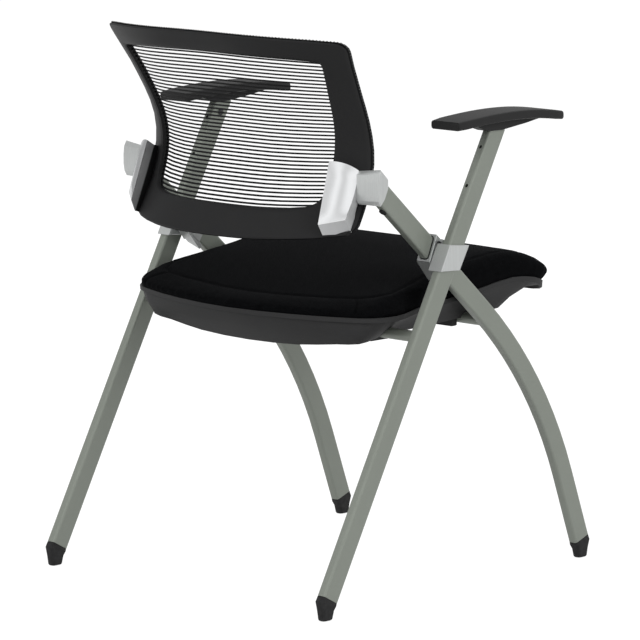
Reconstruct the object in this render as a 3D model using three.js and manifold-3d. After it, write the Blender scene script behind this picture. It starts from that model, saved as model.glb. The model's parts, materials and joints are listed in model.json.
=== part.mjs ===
// Nesting chair: two crossed tube pairs, a tip-up seat and a mesh back.
// Millimetres, +Z up, the chair faces -Y, its left is +X. The origin is on the floor, midway between the feet.

import * as THREE from 'three';
import { mergeVertices } from 'three/addons/utils/BufferGeometryUtils.js';
import Module from 'manifold-3d';

const wasm = await Module();
wasm.setup();

// Driving dimensions
const TUBE_DEEP = 30;
const TUBE_WIDE = 15;
const TUBE_WALL = 1.5;
const TUBE_CORNER = 3.5;
const GAP = 0.3;
const REAR_LEG_X = 270;
const REAR_LEG_FOOT = { y: 280.3, z: 28.5 };
const REAR_LEG_TOP_Z = 652;
const REAR_LEG_SLOPE = -0.5455;
const FRONT_LEG_X = 239;
const FRONT_LEG_TOP = { y: 146, z: 574.5 };
const FRONT_LEG_PITCH = THREE.MathUtils.degToRad(41.48);
const FRONT_LEG_BEND_START_Y = -66.3;
const FRONT_LEG_BEND_RADIUS = 646;
const FRONT_LEG_TURN = THREE.MathUtils.degToRad(28.08);
const FRONT_LEG_END_Z = 28.5;
const FOOT_Y = 284.4;
const FOOT_LONG = 20;
const FOOT_WIDE = 14;
const FOOT_CORNER = 5;
const FOOT_PLUG_LONG = 14;
const FOOT_COLLAR = 6;
const FOOT_EDGE = 2.2;
const FOOT_FILLET = 1.5;
const FOOT_BULGE = { z: 20, share: 0.15, tilt: 0.35, wide: 1.6, long: 1 };
const FOOT_WAIST = { z: 8, share: 0.62, tilt: 0.85, wide: 1.5, long: 4 };
const PLUG_CORNER = 3;
const ROUND_SIDES = 14;
const HEAD_SIDES = 16;
const BAR_SIDES = 24;
const EDGE_BREAK = 0.8;
const BAR_RADIUS = 8;
const BAR_WALL = 1.5;
const REAR_BAR = { y: 94, z: 370 };
const FRONT_BAR = { y: -74.5, z: 371.5 };
const HALF_SEAT = 225;
const PAN_WALL = 3.5;
const ARM_X = 268.5;
const ARM_WIDE = 57;
const ARM_THICK = 13;
const FRAME_THICK = 10;
const FRAME_EDGE = 5.5;
const SKIN_GAP = 0.5;
const RIM_BACK = 13;
const RIM_GROW = 1.4;
const RIM_FRONT = 15.6;
const NET_STRANDS = 41;
const STRAND_SHARE = 0.46;
const NET_THICK = 1.1;
const NET_DEPTH = 11;
const NET_TUCK = 4;

// Finishes
function finish(color, roughness, metalness) {
  return new THREE.MeshStandardMaterial({ color, roughness, metalness });
}
const legPaint = finish(0x838880, 0.42, 0.35);
const castAluminium = finish(0xb4b7b6, 0.34, 0.8);
const brightCover = finish(0xd9dbdc, 0.18, 0.9);
const backPlastic = finish(0x2b2b2d, 0.55, 0);
const panPlastic = finish(0x3a3a3a, 0.62, 0);
const armPlastic = finish(0x343535, 0.5, 0);
const meshFabric = finish(0x121213, 0.8, 0);
const seatFabric = finish(0x0e0f11, 0.95, 0);
const plywood = finish(0xb08a5a, 0.7, 0);
const rubber = finish(0x262627, 0.75, 0);
const darkSteel = finish(0x222222, 0.4, 0.8);

// The exported scene graph: what stands on the floor, and the seat that tips on the rear bar
const group = new THREE.Group();
const seatGroup = new THREE.Group();
group.add(seatGroup);

function place(name, geometry, material, parent = group) {
  const mesh = new THREE.Mesh(geometry, material);
  mesh.name = name;
  parent.add(mesh);
}

const SIDES = [
  { side: 'left', s: 1 },
  { side: 'right', s: -1 },
];

// Solids and booleans
function solid(geometry) {
  const bare = geometry.index ? geometry.clone() : geometry;
  bare.deleteAttribute('normal');
  bare.deleteAttribute('uv');
  const merged = mergeVertices(bare, 1e-4);
  return new wasm.Manifold(
    new wasm.Mesh({
      numProp: 3,
      vertProperties: new Float32Array(merged.attributes.position.array),
      triVerts: new Uint32Array(merged.index.array),
    }),
  );
}

function geometryOf(body) {
  const mesh = body.getMesh();
  const geometry = new THREE.BufferGeometry();
  geometry.setAttribute('position', new THREE.BufferAttribute(mesh.vertProperties, 3));
  geometry.setIndex(new THREE.BufferAttribute(mesh.triVerts, 1));
  return geometry;
}

function signedVolume(points, triangles) {
  let sum = 0;
  const cross = new THREE.Vector3();
  for (const [a, b, c] of triangles) {
    cross.crossVectors(points[b], points[c]);
    sum += points[a].dot(cross);
  }
  return sum / 6;
}

function geometryFrom(points, triangles) {
  const facing = signedVolume(points, triangles) > 0;
  const index = [];
  for (const [a, b, c] of triangles) {
    index.push(a, facing ? b : c, facing ? c : b);
  }
  const geometry = new THREE.BufferGeometry().setFromPoints(points);
  geometry.setIndex(index);
  return geometry;
}

// Two triangles over the four corners a, b, c, d, split along the shorter diagonal
function pushQuad(triangles, points, a, b, c, d) {
  const straight = points[a].distanceTo(points[c]);
  const crossing = points[b].distanceTo(points[d]);
  if (straight < crossing) {
    triangles.push([a, b, c], [a, c, d]);
  } else {
    triangles.push([a, b, d], [b, c, d]);
  }
}

// A skin over rings that all have the same number of points. An end is closed rung by rung, from the
// ring's first point to the last, or round an outline given flat.
function loft(rings, flatOutline = null) {
  const count = rings[0].length;
  const points = rings.flat();
  const triangles = [];
  for (let r = 0; r + 1 < rings.length; r += 1) {
    for (let k = 0; k < count; k += 1) {
      const a = r * count + k;
      const b = r * count + ((k + 1) % count);
      pushQuad(triangles, points, a, b, b + count, a + count);
    }
  }
  const lid = flatOutline ? flatLid(flatOutline) : rungs(count);
  const last = (rings.length - 1) * count;
  for (const [a, b, c] of lid) {
    triangles.push([a, c, b], [last + a, last + b, last + c]);
  }
  return geometryFrom(points, triangles);
}

function flatLid(outline) {
  const triangles = THREE.ShapeUtils.triangulateShape(outline, []);
  const [a, b, c] = triangles[0].map((k) => outline[k]);
  const same = THREE.ShapeUtils.isClockWise([a, b, c]) === THREE.ShapeUtils.isClockWise(outline);
  return same ? triangles : triangles.map(([i, j, k]) => [i, k, j]);
}

function rungs(count) {
  const triangles = [];
  let low = 0;
  let high = count - 1;
  while (low + 1 < high) {
    triangles.push([low, low + 1, high]);
    low += 1;
    if (low < high - 1) {
      triangles.push([low, high - 1, high]);
      high -= 1;
    } else {
      break;
    }
  }
  return triangles;
}

// A skin over rings that follow each other round a loop
function loopLoft(rings) {
  const count = rings[0].length;
  const points = rings.flat();
  const triangles = [];
  rings.forEach((ring, r) => {
    const here = r * count;
    const next = ((r + 1) % rings.length) * count;
    for (let k = 0; k < count; k += 1) {
      const m = (k + 1) % count;
      pushQuad(triangles, points, here + k, here + m, next + m, next + k);
    }
  });
  return geometryFrom(points, triangles);
}

// Outlines
function roundedRectPoints(wide, deep, radius, steps) {
  const points = [];
  for (let corner = 0; corner < 4; corner += 1) {
    const sx = corner === 0 || corner === 3 ? 1 : -1;
    const sy = corner < 2 ? 1 : -1;
    for (let k = 0; k <= steps; k += 1) {
      const angle = ((corner + k / steps) * Math.PI) / 2;
      const x = sx * (wide / 2 - radius) + radius * Math.cos(angle);
      const y = sy * (deep / 2 - radius) + radius * Math.sin(angle);
      points.push(new THREE.Vector2(x, y));
    }
  }
  return points;
}

function tubeSection(extra = 0, hollow = true) {
  const wide = TUBE_WIDE + 2 * extra;
  const deep = TUBE_DEEP + 2 * extra;
  const shape = new THREE.Shape(roundedRectPoints(wide, deep, TUBE_CORNER + extra, 3));
  if (hollow) {
    const inner = roundedRectPoints(wide - 2 * TUBE_WALL, deep - 2 * TUBE_WALL, TUBE_CORNER - TUBE_WALL, 1);
    shape.holes.push(new THREE.Path(inner.reverse()));
  }
  return shape;
}

function along(path, shape, steps) {
  return new THREE.ExtrudeGeometry(shape, { extrudePath: path, steps, bevelEnabled: false });
}

// A side view outline, given as [y, z] pairs, made as thick as from x0 to x1
function slab(outline, x0, x1, bevel = 0) {
  const shape = new THREE.Shape(outline.map(([y, z]) => new THREE.Vector2(y, z)));
  const geometry = new THREE.ExtrudeGeometry(shape, {
    depth: Math.abs(x1 - x0) - 2 * bevel,
    bevelEnabled: bevel > 0,
    bevelThickness: bevel,
    bevelSize: bevel,
    bevelOffset: -bevel,
    bevelSegments: 1,
    steps: 1,
  });
  const toSide = new THREE.Matrix4().set(0, 0, 1, 0, 1, 0, 0, 0, 0, 1, 0, 0, 0, 0, 0, 1);
  geometry.applyMatrix4(toSide);
  geometry.translate(Math.min(x0, x1) + bevel, 0, 0);
  return geometry;
}

// A round rod from one point to another
function rod(from, to, radius, sides = 20) {
  const path = new THREE.Vector3().subVectors(to, from);
  const geometry = new THREE.CylinderGeometry(radius, radius, path.length(), sides);
  const up = new THREE.Vector3(0, 1, 0);
  geometry.applyQuaternion(new THREE.Quaternion().setFromUnitVectors(up, path.clone().normalize()));
  geometry.translate((from.x + to.x) / 2, (from.y + to.y) / 2, (from.z + to.z) / 2);
  return geometry;
}

// A smooth curve through [key, value] stations
function smooth(stations) {
  const keys = stations.map(([key]) => key);
  const values = stations.map(([, value]) => value);
  const last = keys.length - 1;
  const slopeAt = (i) => {
    if (i === 0 || i === last) {
      const a = i === 0 ? 0 : last - 1;
      return (values[a + 1] - values[a]) / (keys[a + 1] - keys[a]);
    }
    return (values[i + 1] - values[i - 1]) / (keys[i + 1] - keys[i - 1]);
  };
  return (key) => {
    let i = 0;
    while (i < last - 1 && key > keys[i + 1]) i += 1;
    const span = keys[i + 1] - keys[i];
    const t = (key - keys[i]) / span;
    if (t < 0) return values[0] + slopeAt(0) * (key - keys[0]);
    if (t > 1) return values[last] + slopeAt(last) * (key - keys[last]);
    const t2 = t * t;
    const t3 = t2 * t;
    return (
      (2 * t3 - 3 * t2 + 1) * values[i] +
      (t3 - 2 * t2 + t) * span * slopeAt(i) +
      (3 * t2 - 2 * t3) * values[i + 1] +
      (t3 - t2) * span * slopeAt(i + 1)
    );
  };
}

// Rear leg: one straight tube from the foot to the armrest
function rearLegY(z) {
  return REAR_LEG_FOOT.y + REAR_LEG_SLOPE * (z - REAR_LEG_FOOT.z);
}
const rearLegUp = new THREE.Vector3(0, REAR_LEG_SLOPE, 1).normalize();

function rearLegPoint(s, z, outward = 0) {
  return new THREE.Vector3(s * (REAR_LEG_X + outward), rearLegY(z), z);
}

function rearLegPath(s, zFrom, zTo) {
  return new THREE.LineCurve3(rearLegPoint(s, zFrom), rearLegPoint(s, zTo));
}

const POST_HOLES_Z = [566, 618];
const POST_HOLE_RADIUS = 2.8;
const ARM_SCREW_Z = 631;
const ARM_SCREW_RADIUS = 3;

function rearLeg(s) {
  let body = solid(along(rearLegPath(s, REAR_LEG_FOOT.z, REAR_LEG_TOP_Z), tubeSection(), 1));
  const backward = new THREE.Vector3(0, 1, -REAR_LEG_SLOPE).normalize();
  for (const z of POST_HOLES_Z) {
    const from = rearLegPoint(s, z);
    const to = from.clone().addScaledVector(backward, TUBE_DEEP);
    body = body.subtract(solid(rod(from, to, POST_HOLE_RADIUS, ROUND_SIDES)));
  }
  const inside = rearLegPoint(s, ARM_SCREW_Z);
  const outside = rearLegPoint(s, ARM_SCREW_Z, -TUBE_WIDE);
  body = body.subtract(solid(rod(inside, outside, ARM_SCREW_RADIUS + GAP, ROUND_SIDES)));
  return geometryOf(body);
}

// Front leg: straight from the back socket through the joint, then bent down to the foot
function frontLegCurve(s) {
  const path = new THREE.CurvePath();
  const x = s * FRONT_LEG_X;
  const slope = Math.tan(FRONT_LEG_PITCH);
  const bendY = FRONT_LEG_BEND_START_Y;
  const bendZ = FRONT_LEG_TOP.z + slope * (bendY - FRONT_LEG_TOP.y);
  const centreY = bendY + FRONT_LEG_BEND_RADIUS * Math.sin(FRONT_LEG_PITCH);
  const centreZ = bendZ - FRONT_LEG_BEND_RADIUS * Math.cos(FRONT_LEG_PITCH);
  const at = (turn) =>
    new THREE.Vector3(
      x,
      centreY - FRONT_LEG_BEND_RADIUS * Math.sin(FRONT_LEG_PITCH + turn),
      centreZ + FRONT_LEG_BEND_RADIUS * Math.cos(FRONT_LEG_PITCH + turn),
    );
  const steps = 10;
  let from = new THREE.Vector3(x, FRONT_LEG_TOP.y, FRONT_LEG_TOP.z);
  for (let k = 0; k <= steps; k += 1) {
    const to = at((FRONT_LEG_TURN * k) / steps);
    path.add(new THREE.LineCurve3(from, to));
    from = to;
  }
  const endAngle = FRONT_LEG_PITCH + FRONT_LEG_TURN;
  const drop = from.z - FRONT_LEG_END_Z;
  const foot = new THREE.Vector3(x, from.y - drop / Math.tan(endAngle), FRONT_LEG_END_Z);
  path.add(new THREE.LineCurve3(from, foot));
  return path;
}

// The centreline's own points, so that the tube has one ring at each
class Polyline extends THREE.Curve {
  constructor(points) {
    super();
    this.points = points;
  }

  getPoint(t, target = new THREE.Vector3()) {
    const scaled = t * (this.points.length - 1);
    const i = Math.min(Math.floor(scaled), this.points.length - 2);
    return target.lerpVectors(this.points[i], this.points[i + 1], scaled - i);
  }

  getPointAt(u, target) {
    return this.getPoint(u, target);
  }

  getTangentAt(u) {
    const last = this.points.length - 1;
    const i = Math.round(u * last);
    const before = this.points[Math.max(i - 1, 0)];
    const after = this.points[Math.min(i + 1, last)];
    const here = this.points[i];
    const into = here.clone().sub(before).normalize();
    const out = after.clone().sub(here).normalize();
    return into.add(out).normalize();
  }
}

function frontLegPoints(s) {
  const curves = frontLegCurve(s).curves;
  return [curves[0].v1, ...curves.map((curve) => curve.v2)];
}

function frontLegTube(s, extra = 0, hollow = true) {
  const path = new Polyline(frontLegPoints(s));
  return along(path, tubeSection(extra, hollow), path.points.length - 1);
}

const frontLegDown = new THREE.Vector3(0, -Math.cos(FRONT_LEG_PITCH), -Math.sin(FRONT_LEG_PITCH));
const frontLegUnder = new THREE.Vector3(0, Math.sin(FRONT_LEG_PITCH), -Math.cos(FRONT_LEG_PITCH));

// A point on the straight run of the front leg, a way down from its top and under its centreline
function frontLegAt(s, down, under = 0, outward = 0) {
  return new THREE.Vector3(s * (FRONT_LEG_X + outward), FRONT_LEG_TOP.y, FRONT_LEG_TOP.z)
    .addScaledVector(frontLegDown, down)
    .addScaledVector(frontLegUnder, under);
}

const LEG_PLUG_DOWN = 25;
const LEG_PLUG_RADIUS = 4;
const LEG_PLUG_STEM = { radius: 3.6, inside: 4, outside: 1 };
const LEG_PLUG_HEAD = { radius: 5.5, high: 2.2 };

function frontLeg(s) {
  const from = frontLegAt(s, LEG_PLUG_DOWN);
  const to = frontLegAt(s, LEG_PLUG_DOWN, TUBE_DEEP);
  const hole = solid(rod(from, to, LEG_PLUG_RADIUS, ROUND_SIDES));
  return geometryOf(solid(frontLegTube(s)).subtract(hole));
}

function legPlug(s) {
  const face = TUBE_DEEP / 2;
  const stemIn = frontLegAt(s, LEG_PLUG_DOWN, face - LEG_PLUG_STEM.inside);
  const stemOut = frontLegAt(s, LEG_PLUG_DOWN, face + LEG_PLUG_STEM.outside);
  const stem = rod(stemIn, stemOut, LEG_PLUG_STEM.radius, ROUND_SIDES);
  const head = rod(
    frontLegAt(s, LEG_PLUG_DOWN, face + GAP),
    frontLegAt(s, LEG_PLUG_DOWN, face + LEG_PLUG_HEAD.high),
    LEG_PLUG_HEAD.radius,
    HEAD_SIDES,
  );
  return geometryOf(solid(stem).add(solid(head)));
}

// Feet: a rubber tip plugged into the tube, bulged below it and tapered to a flat sole
function footRing(centre, along3, wide, deep, radius) {
  const across = new THREE.Vector3(1, 0, 0);
  return roundedRectPoints(wide, deep, radius, 3).map((p) =>
    centre.clone().addScaledVector(across, p.x).addScaledVector(along3, p.y),
  );
}

function foot(s, legX, end, up, soleY) {
  const level = new THREE.Vector3(0, 1, 0);
  const square = new THREE.Vector3(0, up.z, -up.y);
  const tilted = (share) => square.clone().lerp(level, share).normalize();
  const base = new THREE.Vector3(s * legX, end.y, end.z);
  const down = (distance) => base.clone().addScaledVector(up, -distance);
  const sole = (z) => new THREE.Vector3(s * legX, soleY, z);
  const inside = TUBE_WALL + GAP;
  const plugWide = TUBE_WIDE - 2 * inside;
  const plugDeep = TUBE_DEEP - 2 * inside;
  const between = ({ z, share }) => down(FOOT_COLLAR).lerp(sole(z), share);
  const top = down(-FOOT_PLUG_LONG);
  return loft([
    footRing(top, square, plugWide - 1, plugDeep - 1, PLUG_CORNER),
    footRing(down(GAP), square, plugWide, plugDeep, PLUG_CORNER),
    footRing(down(GAP), square, TUBE_WIDE, TUBE_DEEP, TUBE_CORNER),
    footRing(
      between(FOOT_BULGE),
      tilted(FOOT_BULGE.tilt),
      TUBE_WIDE + FOOT_BULGE.wide,
      TUBE_DEEP + FOOT_BULGE.long,
      TUBE_CORNER + 1,
    ),
    footRing(
      between(FOOT_WAIST),
      tilted(FOOT_WAIST.tilt),
      FOOT_WIDE + FOOT_WAIST.wide,
      FOOT_LONG + FOOT_WAIST.long,
      FOOT_CORNER,
    ),
    footRing(sole(FOOT_EDGE), level, FOOT_WIDE, FOOT_LONG, FOOT_CORNER),
    footRing(sole(0), level, FOOT_WIDE - 2 * FOOT_FILLET, FOOT_LONG - 2 * FOOT_FILLET, FOOT_CORNER - 1),
  ]);
}

for (const { side, s } of SIDES) {
  const rearEnd = REAR_LEG_FOOT;
  place(`rear_leg_${side}`, rearLeg(s), legPaint);
  place(`rear_foot_${side}`, foot(s, REAR_LEG_X, rearEnd, rearLegUp, FOOT_Y), rubber);
  const points = frontLegPoints(s);
  const frontEnd = points[points.length - 1];
  const frontUp = points[points.length - 2].clone().sub(frontEnd).normalize();
  place(`front_leg_${side}`, frontLeg(s), legPaint);
  place(`front_foot_${side}`, foot(s, FRONT_LEG_X, frontEnd, frontUp, -FOOT_Y), rubber);
  place(`leg_plug_${side}`, legPlug(s), rubber);
}

// Crossbars: round tubes welded between the rear legs and between the front legs
function crossbar(centre, halfLength) {
  const ring = new THREE.Shape().absarc(0, 0, BAR_RADIUS, 0, 2 * Math.PI);
  ring.holes.push(new THREE.Path().absarc(0, 0, BAR_RADIUS - BAR_WALL, 0, 2 * Math.PI, true));
  const path = new THREE.LineCurve3(
    new THREE.Vector3(-halfLength, centre.y, centre.z),
    new THREE.Vector3(halfLength, centre.y, centre.z),
  );
  return new THREE.ExtrudeGeometry(ring, {
    extrudePath: path,
    steps: 1,
    bevelEnabled: false,
    curveSegments: BAR_SIDES,
  });
}
place('rear_crossbar', crossbar(REAR_BAR, REAR_LEG_X - TUBE_WIDE / 2 - GAP), legPaint);
place('front_crossbar', crossbar(FRONT_BAR, FRONT_LEG_X - TUBE_WIDE / 2 - GAP), legPaint);

// Joint casting: a sleeve on the rear leg and a box on the front leg, cast in one
const SLEEVE = [
  [64.2, 459.6],
  [46, 495.3],
  [6.5, 491],
  [25.5, 457.6],
];
const SLEEVE_X = [256.6, 281.4];
const BOX = [
  [55.6, 469.8],
  [40.4, 506.6],
  [12, 481],
  [31.4, 447.8],
];
const BOX_X = [226.6, 251.5];
const WEB = [
  [46, 472],
  [35, 500],
  [14, 483],
  [33, 451],
];
const WEB_X = [250.5, 258];
const RIB_INNER = [
  [56, 468.4],
  [31, 438.8],
  [25.5, 441.5],
  [33, 453],
  [46, 466],
];
const RIB_OUTER = [
  [56, 469],
  [33, 447.4],
  [28, 449],
  [34, 455],
  [46, 467],
];
const RIB_X = [227.2, 249];
const LINER_SPACE = 1.5;
const SLEEVE_BORE_Z = [400, 560];
const RECESS_LONG = 20;
const LINER_ZONE_X = [225, 260];

function jointCasting(s) {
  const sleeve = solid(slab(SLEEVE, s * SLEEVE_X[0], s * SLEEVE_X[1], EDGE_BREAK));
  const box = solid(slab(BOX, s * BOX_X[0], s * BOX_X[1], EDGE_BREAK));
  const web = solid(slab(WEB, s * WEB_X[0], s * WEB_X[1]));
  const ribEnd = (outline, x) => outline.map(([y, z]) => new THREE.Vector3(s * x, y, z));
  const flat = RIB_INNER.map(([y, z]) => new THREE.Vector2(y, z));
  const rib = solid(loft([ribEnd(RIB_INNER, RIB_X[0]), ribEnd(RIB_OUTER, RIB_X[1])], flat));
  const rearBore = solid(along(rearLegPath(s, ...SLEEVE_BORE_Z), tubeSection(GAP, false), 1));
  const frontBore = solid(frontLegTube(s, LINER_SPACE, false));
  const screwFrom = new THREE.Vector3(s * JOINT_SCREW.x, JOINT_SCREW.y, JOINT_SCREW.z);
  const screwTo = screwFrom.clone().addScaledVector(JOINT_SCREW.out, RECESS_LONG);
  const recess = solid(rod(screwFrom, screwTo, JOINT_SCREW.radius + GAP, ROUND_SIDES));
  return geometryOf(sleeve.add(box).add(web).add(rib).subtract(rearBore).subtract(frontBore).subtract(recess));
}

// Clamp screw, its head sunk in the web between the sleeve and the box
const JOINT_SCREW = {
  x: 254.2,
  y: 36,
  z: 492.6,
  radius: 3,
  high: 5,
  out: new THREE.Vector3(0, 1, -REAR_LEG_SLOPE).normalize(),
};

function jointScrew(s) {
  const from = new THREE.Vector3(s * JOINT_SCREW.x, JOINT_SCREW.y, JOINT_SCREW.z);
  const seat = from.clone().addScaledVector(JOINT_SCREW.out, GAP);
  const tip = seat.clone().addScaledVector(JOINT_SCREW.out, JOINT_SCREW.high);
  return rod(seat, tip, JOINT_SCREW.radius, ROUND_SIDES);
}

// Liner: a thin plastic sleeve between the front leg and the casting's box
function jointLiner(s) {
  const trim = 1;
  const rearCut = [
    [BOX[0][0] + trim, BOX[0][1] - trim],
    [BOX[1][0] + trim, BOX[1][1] + trim],
    [BOX[2][0], BOX[2][1] + trim],
    [BOX[3][0] - trim, BOX[3][1] - trim],
  ];
  const outer = solid(frontLegTube(s, LINER_SPACE - GAP, false));
  const inner = solid(frontLegTube(s, GAP, false));
  const zone = solid(slab(rearCut, s * LINER_ZONE_X[0], s * LINER_ZONE_X[1]));
  return geometryOf(outer.intersect(zone).subtract(inner));
}

for (const { side, s } of SIDES) {
  place(`joint_casting_${side}`, jointCasting(s), castAluminium);
  place(`joint_liner_${side}`, jointLiner(s), rubber);
  place(`joint_screw_${side}`, jointScrew(s), darkSteel);
}

// Armrests: an arched pad with a wedge below it that the post goes up into
const armTop = smooth([
  [-176, 666],
  [-140, 670.6],
  [-110, 673],
  [-70, 673.8],
  [-30, 672.6],
  [8, 670],
  [43, 666.8],
]);
const ARM_FRONT_Y = -176;
const ARM_REAR_Y = 43;
const ARM_STEPS = 14;
const ARM_CORNER = 3.5;
const ARM_NOSE = 4;
const WEDGE_HALF = 12;
const WEDGE = [
  [4, 660],
  [-34, 647.4],
  [-62, 646.8],
  [-112, 652.6],
  [-162, 661],
  [-162, 664],
  [4, 666],
];

function armrest(s) {
  const rings = [];
  for (let k = 0; k <= ARM_STEPS; k += 1) {
    const t = k / ARM_STEPS;
    const y = THREE.MathUtils.lerp(ARM_FRONT_Y, ARM_REAR_Y, t);
    const nose = k === 0 || k === ARM_STEPS ? ARM_NOSE : 0;
    const z = armTop(y) - ARM_THICK / 2;
    const half = roundedRectPoints(ARM_WIDE - nose, ARM_THICK - nose / 4, ARM_CORNER, 2);
    rings.push(half.map((p) => new THREE.Vector3(s * ARM_X + p.x, y, z + p.y)));
  }
  const pad = solid(loft(rings));
  const wedge = solid(slab(WEDGE, s * (REAR_LEG_X - WEDGE_HALF), s * (REAR_LEG_X + WEDGE_HALF), 1));
  const post = solid(along(rearLegPath(s, 600, REAR_LEG_TOP_Z + 1), tubeSection(GAP, false), 1));
  return geometryOf(pad.add(wedge).subtract(post));
}

// Insert: a plastic block inside the top of the post that takes the armrest's screw
const INSERT_BOTTOM_Z = 606;
const ARM_SHANK_RADIUS = 2;
const ARM_WASHER = { radius: 4.6, high: 1.6 };

function armInsert(s) {
  const inside = TUBE_WALL + GAP;
  const wide = TUBE_WIDE - 2 * inside;
  const deep = TUBE_DEEP - 2 * inside;
  const section = new THREE.Shape(roundedRectPoints(wide, deep, PLUG_CORNER, 2));
  const block = solid(along(rearLegPath(s, INSERT_BOTTOM_Z, REAR_LEG_TOP_Z), section, 1));
  const from = rearLegPoint(s, ARM_SCREW_Z, 2);
  const to = rearLegPoint(s, ARM_SCREW_Z, -TUBE_WIDE);
  const bore = solid(rod(from, to, ARM_SHANK_RADIUS + GAP, ROUND_SIDES));
  return geometryOf(block.subtract(bore));
}

function armScrew(s) {
  const face = -TUBE_WIDE / 2;
  const tip = rearLegPoint(s, ARM_SCREW_Z, 1);
  const shank = rod(tip, rearLegPoint(s, ARM_SCREW_Z, face), ARM_SHANK_RADIUS, ROUND_SIDES);
  const outside = rearLegPoint(s, ARM_SCREW_Z, face - ARM_WASHER.high);
  const neck = rearLegPoint(s, ARM_SCREW_Z, face + TUBE_WALL + GAP);
  const head = rod(neck, outside, ARM_SCREW_RADIUS, HEAD_SIDES);
  const under = rearLegPoint(s, ARM_SCREW_Z, face - GAP);
  const washer = rod(under, outside, ARM_WASHER.radius, HEAD_SIDES);
  return geometryOf(solid(shank).add(solid(head)).add(solid(washer)));
}

for (const { side, s } of SIDES) {
  place(`armrest_${side}`, armrest(s), armPlastic);
  place(`armrest_insert_${side}`, armInsert(s), rubber);
  place(`armrest_screw_${side}`, armScrew(s), darkSteel);
}

// Back: the rear face of the frame is one curved surface. Its outer edge runs forward at the waist and
// back at both ends, and its sides wrap forward.
const backEdgeY = smooth([
  [500, 184],
  [535, 163],
  [570, 146],
  [615, 135.5],
  [660, 143],
  [720, 173],
  [755, 194],
  [785, 211],
]);
const backHalf = smooth([
  [500, 213],
  [615, 209.6],
  [660, 210],
  [720, 217.2],
  [755, 224.6],
  [785, 232.5],
]);
const windowHalf = smooth([
  [540, 161],
  [600, 165.5],
  [630, 168.5],
  [660, 172.5],
  [711, 181.5],
  [760, 193],
]);
const BACK_WRAP = 64;
const BACK_FLAT_HALF = 50;

function backY(x, z) {
  const reach = Math.max(0, Math.abs(x) - BACK_FLAT_HALF) / (backHalf(z) - BACK_FLAT_HALF);
  return backEdgeY(z) + BACK_WRAP * (1 - reach * reach);
}

const backTopZ = (x) => 789.8 - 6.5 * (x / 230) ** 2;
const backBottomZ = (x) => 503.5 + 9 * (x / 200) ** 2;
const windowTopZ = (x) => 761 - 6 * (x / 190) ** 2;
const windowBottomZ = (x) => 545 + 5 * (x / 170) ** 2;

// A closed outline in x and z between two edge curves and two side curves, with its four corners
// rounded. It starts at the bottom middle and has the same number of points for any sizes.
function backOutline({ half, top, bottom, grow = 0, cornerLow, cornerHigh }) {
  const right = [];
  const edgeSteps = 7;
  const cornerSteps = 4;
  const sideSteps = 12;
  const lowX = half(bottom(150)) + grow;
  const highX = half(top(190)) + grow;
  const lowZ = bottom(lowX) - grow;
  const highZ = top(highX) + grow;
  for (let k = 0; k < edgeSteps; k += 1) {
    const x = ((lowX - cornerLow) * k) / edgeSteps;
    right.push([x, bottom(x) - grow]);
  }
  for (let k = 0; k <= cornerSteps; k += 1) {
    const angle = (k / cornerSteps) * (Math.PI / 2);
    const z = lowZ + cornerLow * (1 - Math.cos(angle));
    right.push([half(z) + grow - cornerLow * (1 - Math.sin(angle)), z]);
  }
  for (let k = 1; k < sideSteps; k += 1) {
    const z = THREE.MathUtils.lerp(lowZ + cornerLow, highZ - cornerHigh, k / sideSteps);
    right.push([half(z) + grow, z]);
  }
  for (let k = 0; k <= cornerSteps; k += 1) {
    const angle = (k / cornerSteps) * (Math.PI / 2);
    const z = highZ - cornerHigh * (1 - Math.sin(angle));
    right.push([half(z) + grow - cornerHigh * (1 - Math.cos(angle)), z]);
  }
  for (let k = 1; k <= edgeSteps; k += 1) {
    const x = (highX - cornerHigh) * (1 - k / edgeSteps);
    right.push([x, top(x) + grow]);
  }
  const left = right.slice(1, -1).map(([x, z]) => [-x, z]);
  return [...right, ...left.reverse()];
}

const OUTER_EDGE = { half: backHalf, top: backTopZ, bottom: backBottomZ, cornerLow: 14, cornerHigh: 14 };
const WINDOW_EDGE = {
  half: windowHalf,
  top: windowTopZ,
  bottom: windowBottomZ,
  cornerLow: 22,
  cornerHigh: 8,
};

// A ring between an outer and an inner outline; sections give [share across, depth] round the ring's cut
function backRing(outer, inner, sections) {
  const rings = outer.map(([ox, oz], k) => {
    const [ix, iz] = inner[k];
    return sections.map(([share, depth]) => {
      const x = THREE.MathUtils.lerp(ox, ix, share);
      const z = THREE.MathUtils.lerp(oz, iz, share);
      return new THREE.Vector3(x, backY(x, z) - depth, z);
    });
  });
  return loopLoft(rings);
}

const outerOutline = backOutline(OUTER_EDGE);
const windowOutline = backOutline(WINDOW_EDGE);
const FRAME_SECTION = [
  [0, 2],
  [0.06, 0],
  [0.5, 0],
  [0.84, 0.4],
  [0.97, 2.6],
  [1, 6],
  [1, FRAME_THICK],
  [0.8, FRAME_THICK],
  [0.5, FRAME_THICK - 1],
  [0, FRAME_EDGE],
];
const backFrame = backRing(outerOutline, windowOutline, FRAME_SECTION);

// Rim: the carrier that the net is stretched on, clipped to the front of the frame
const rimOuter = backOutline({ ...OUTER_EDGE, grow: RIM_GROW });
const rimInner = backOutline({ ...WINDOW_EDGE, grow: 1.5 });
const RIM_SECTION = [
  [0, FRAME_EDGE + SKIN_GAP],
  [0.5, FRAME_THICK - 1 + SKIN_GAP],
  [0.8, FRAME_THICK + SKIN_GAP],
  [0.82, RIM_BACK],
  [1, RIM_BACK],
  [1, RIM_FRONT],
  [0.8, RIM_FRONT - 1],
  [0.5, RIM_FRONT - 2.6],
  [0, FRAME_EDGE + 4.5],
];
place('mesh_rim', backRing(rimOuter, rimInner, RIM_SECTION), backPlastic);

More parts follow.
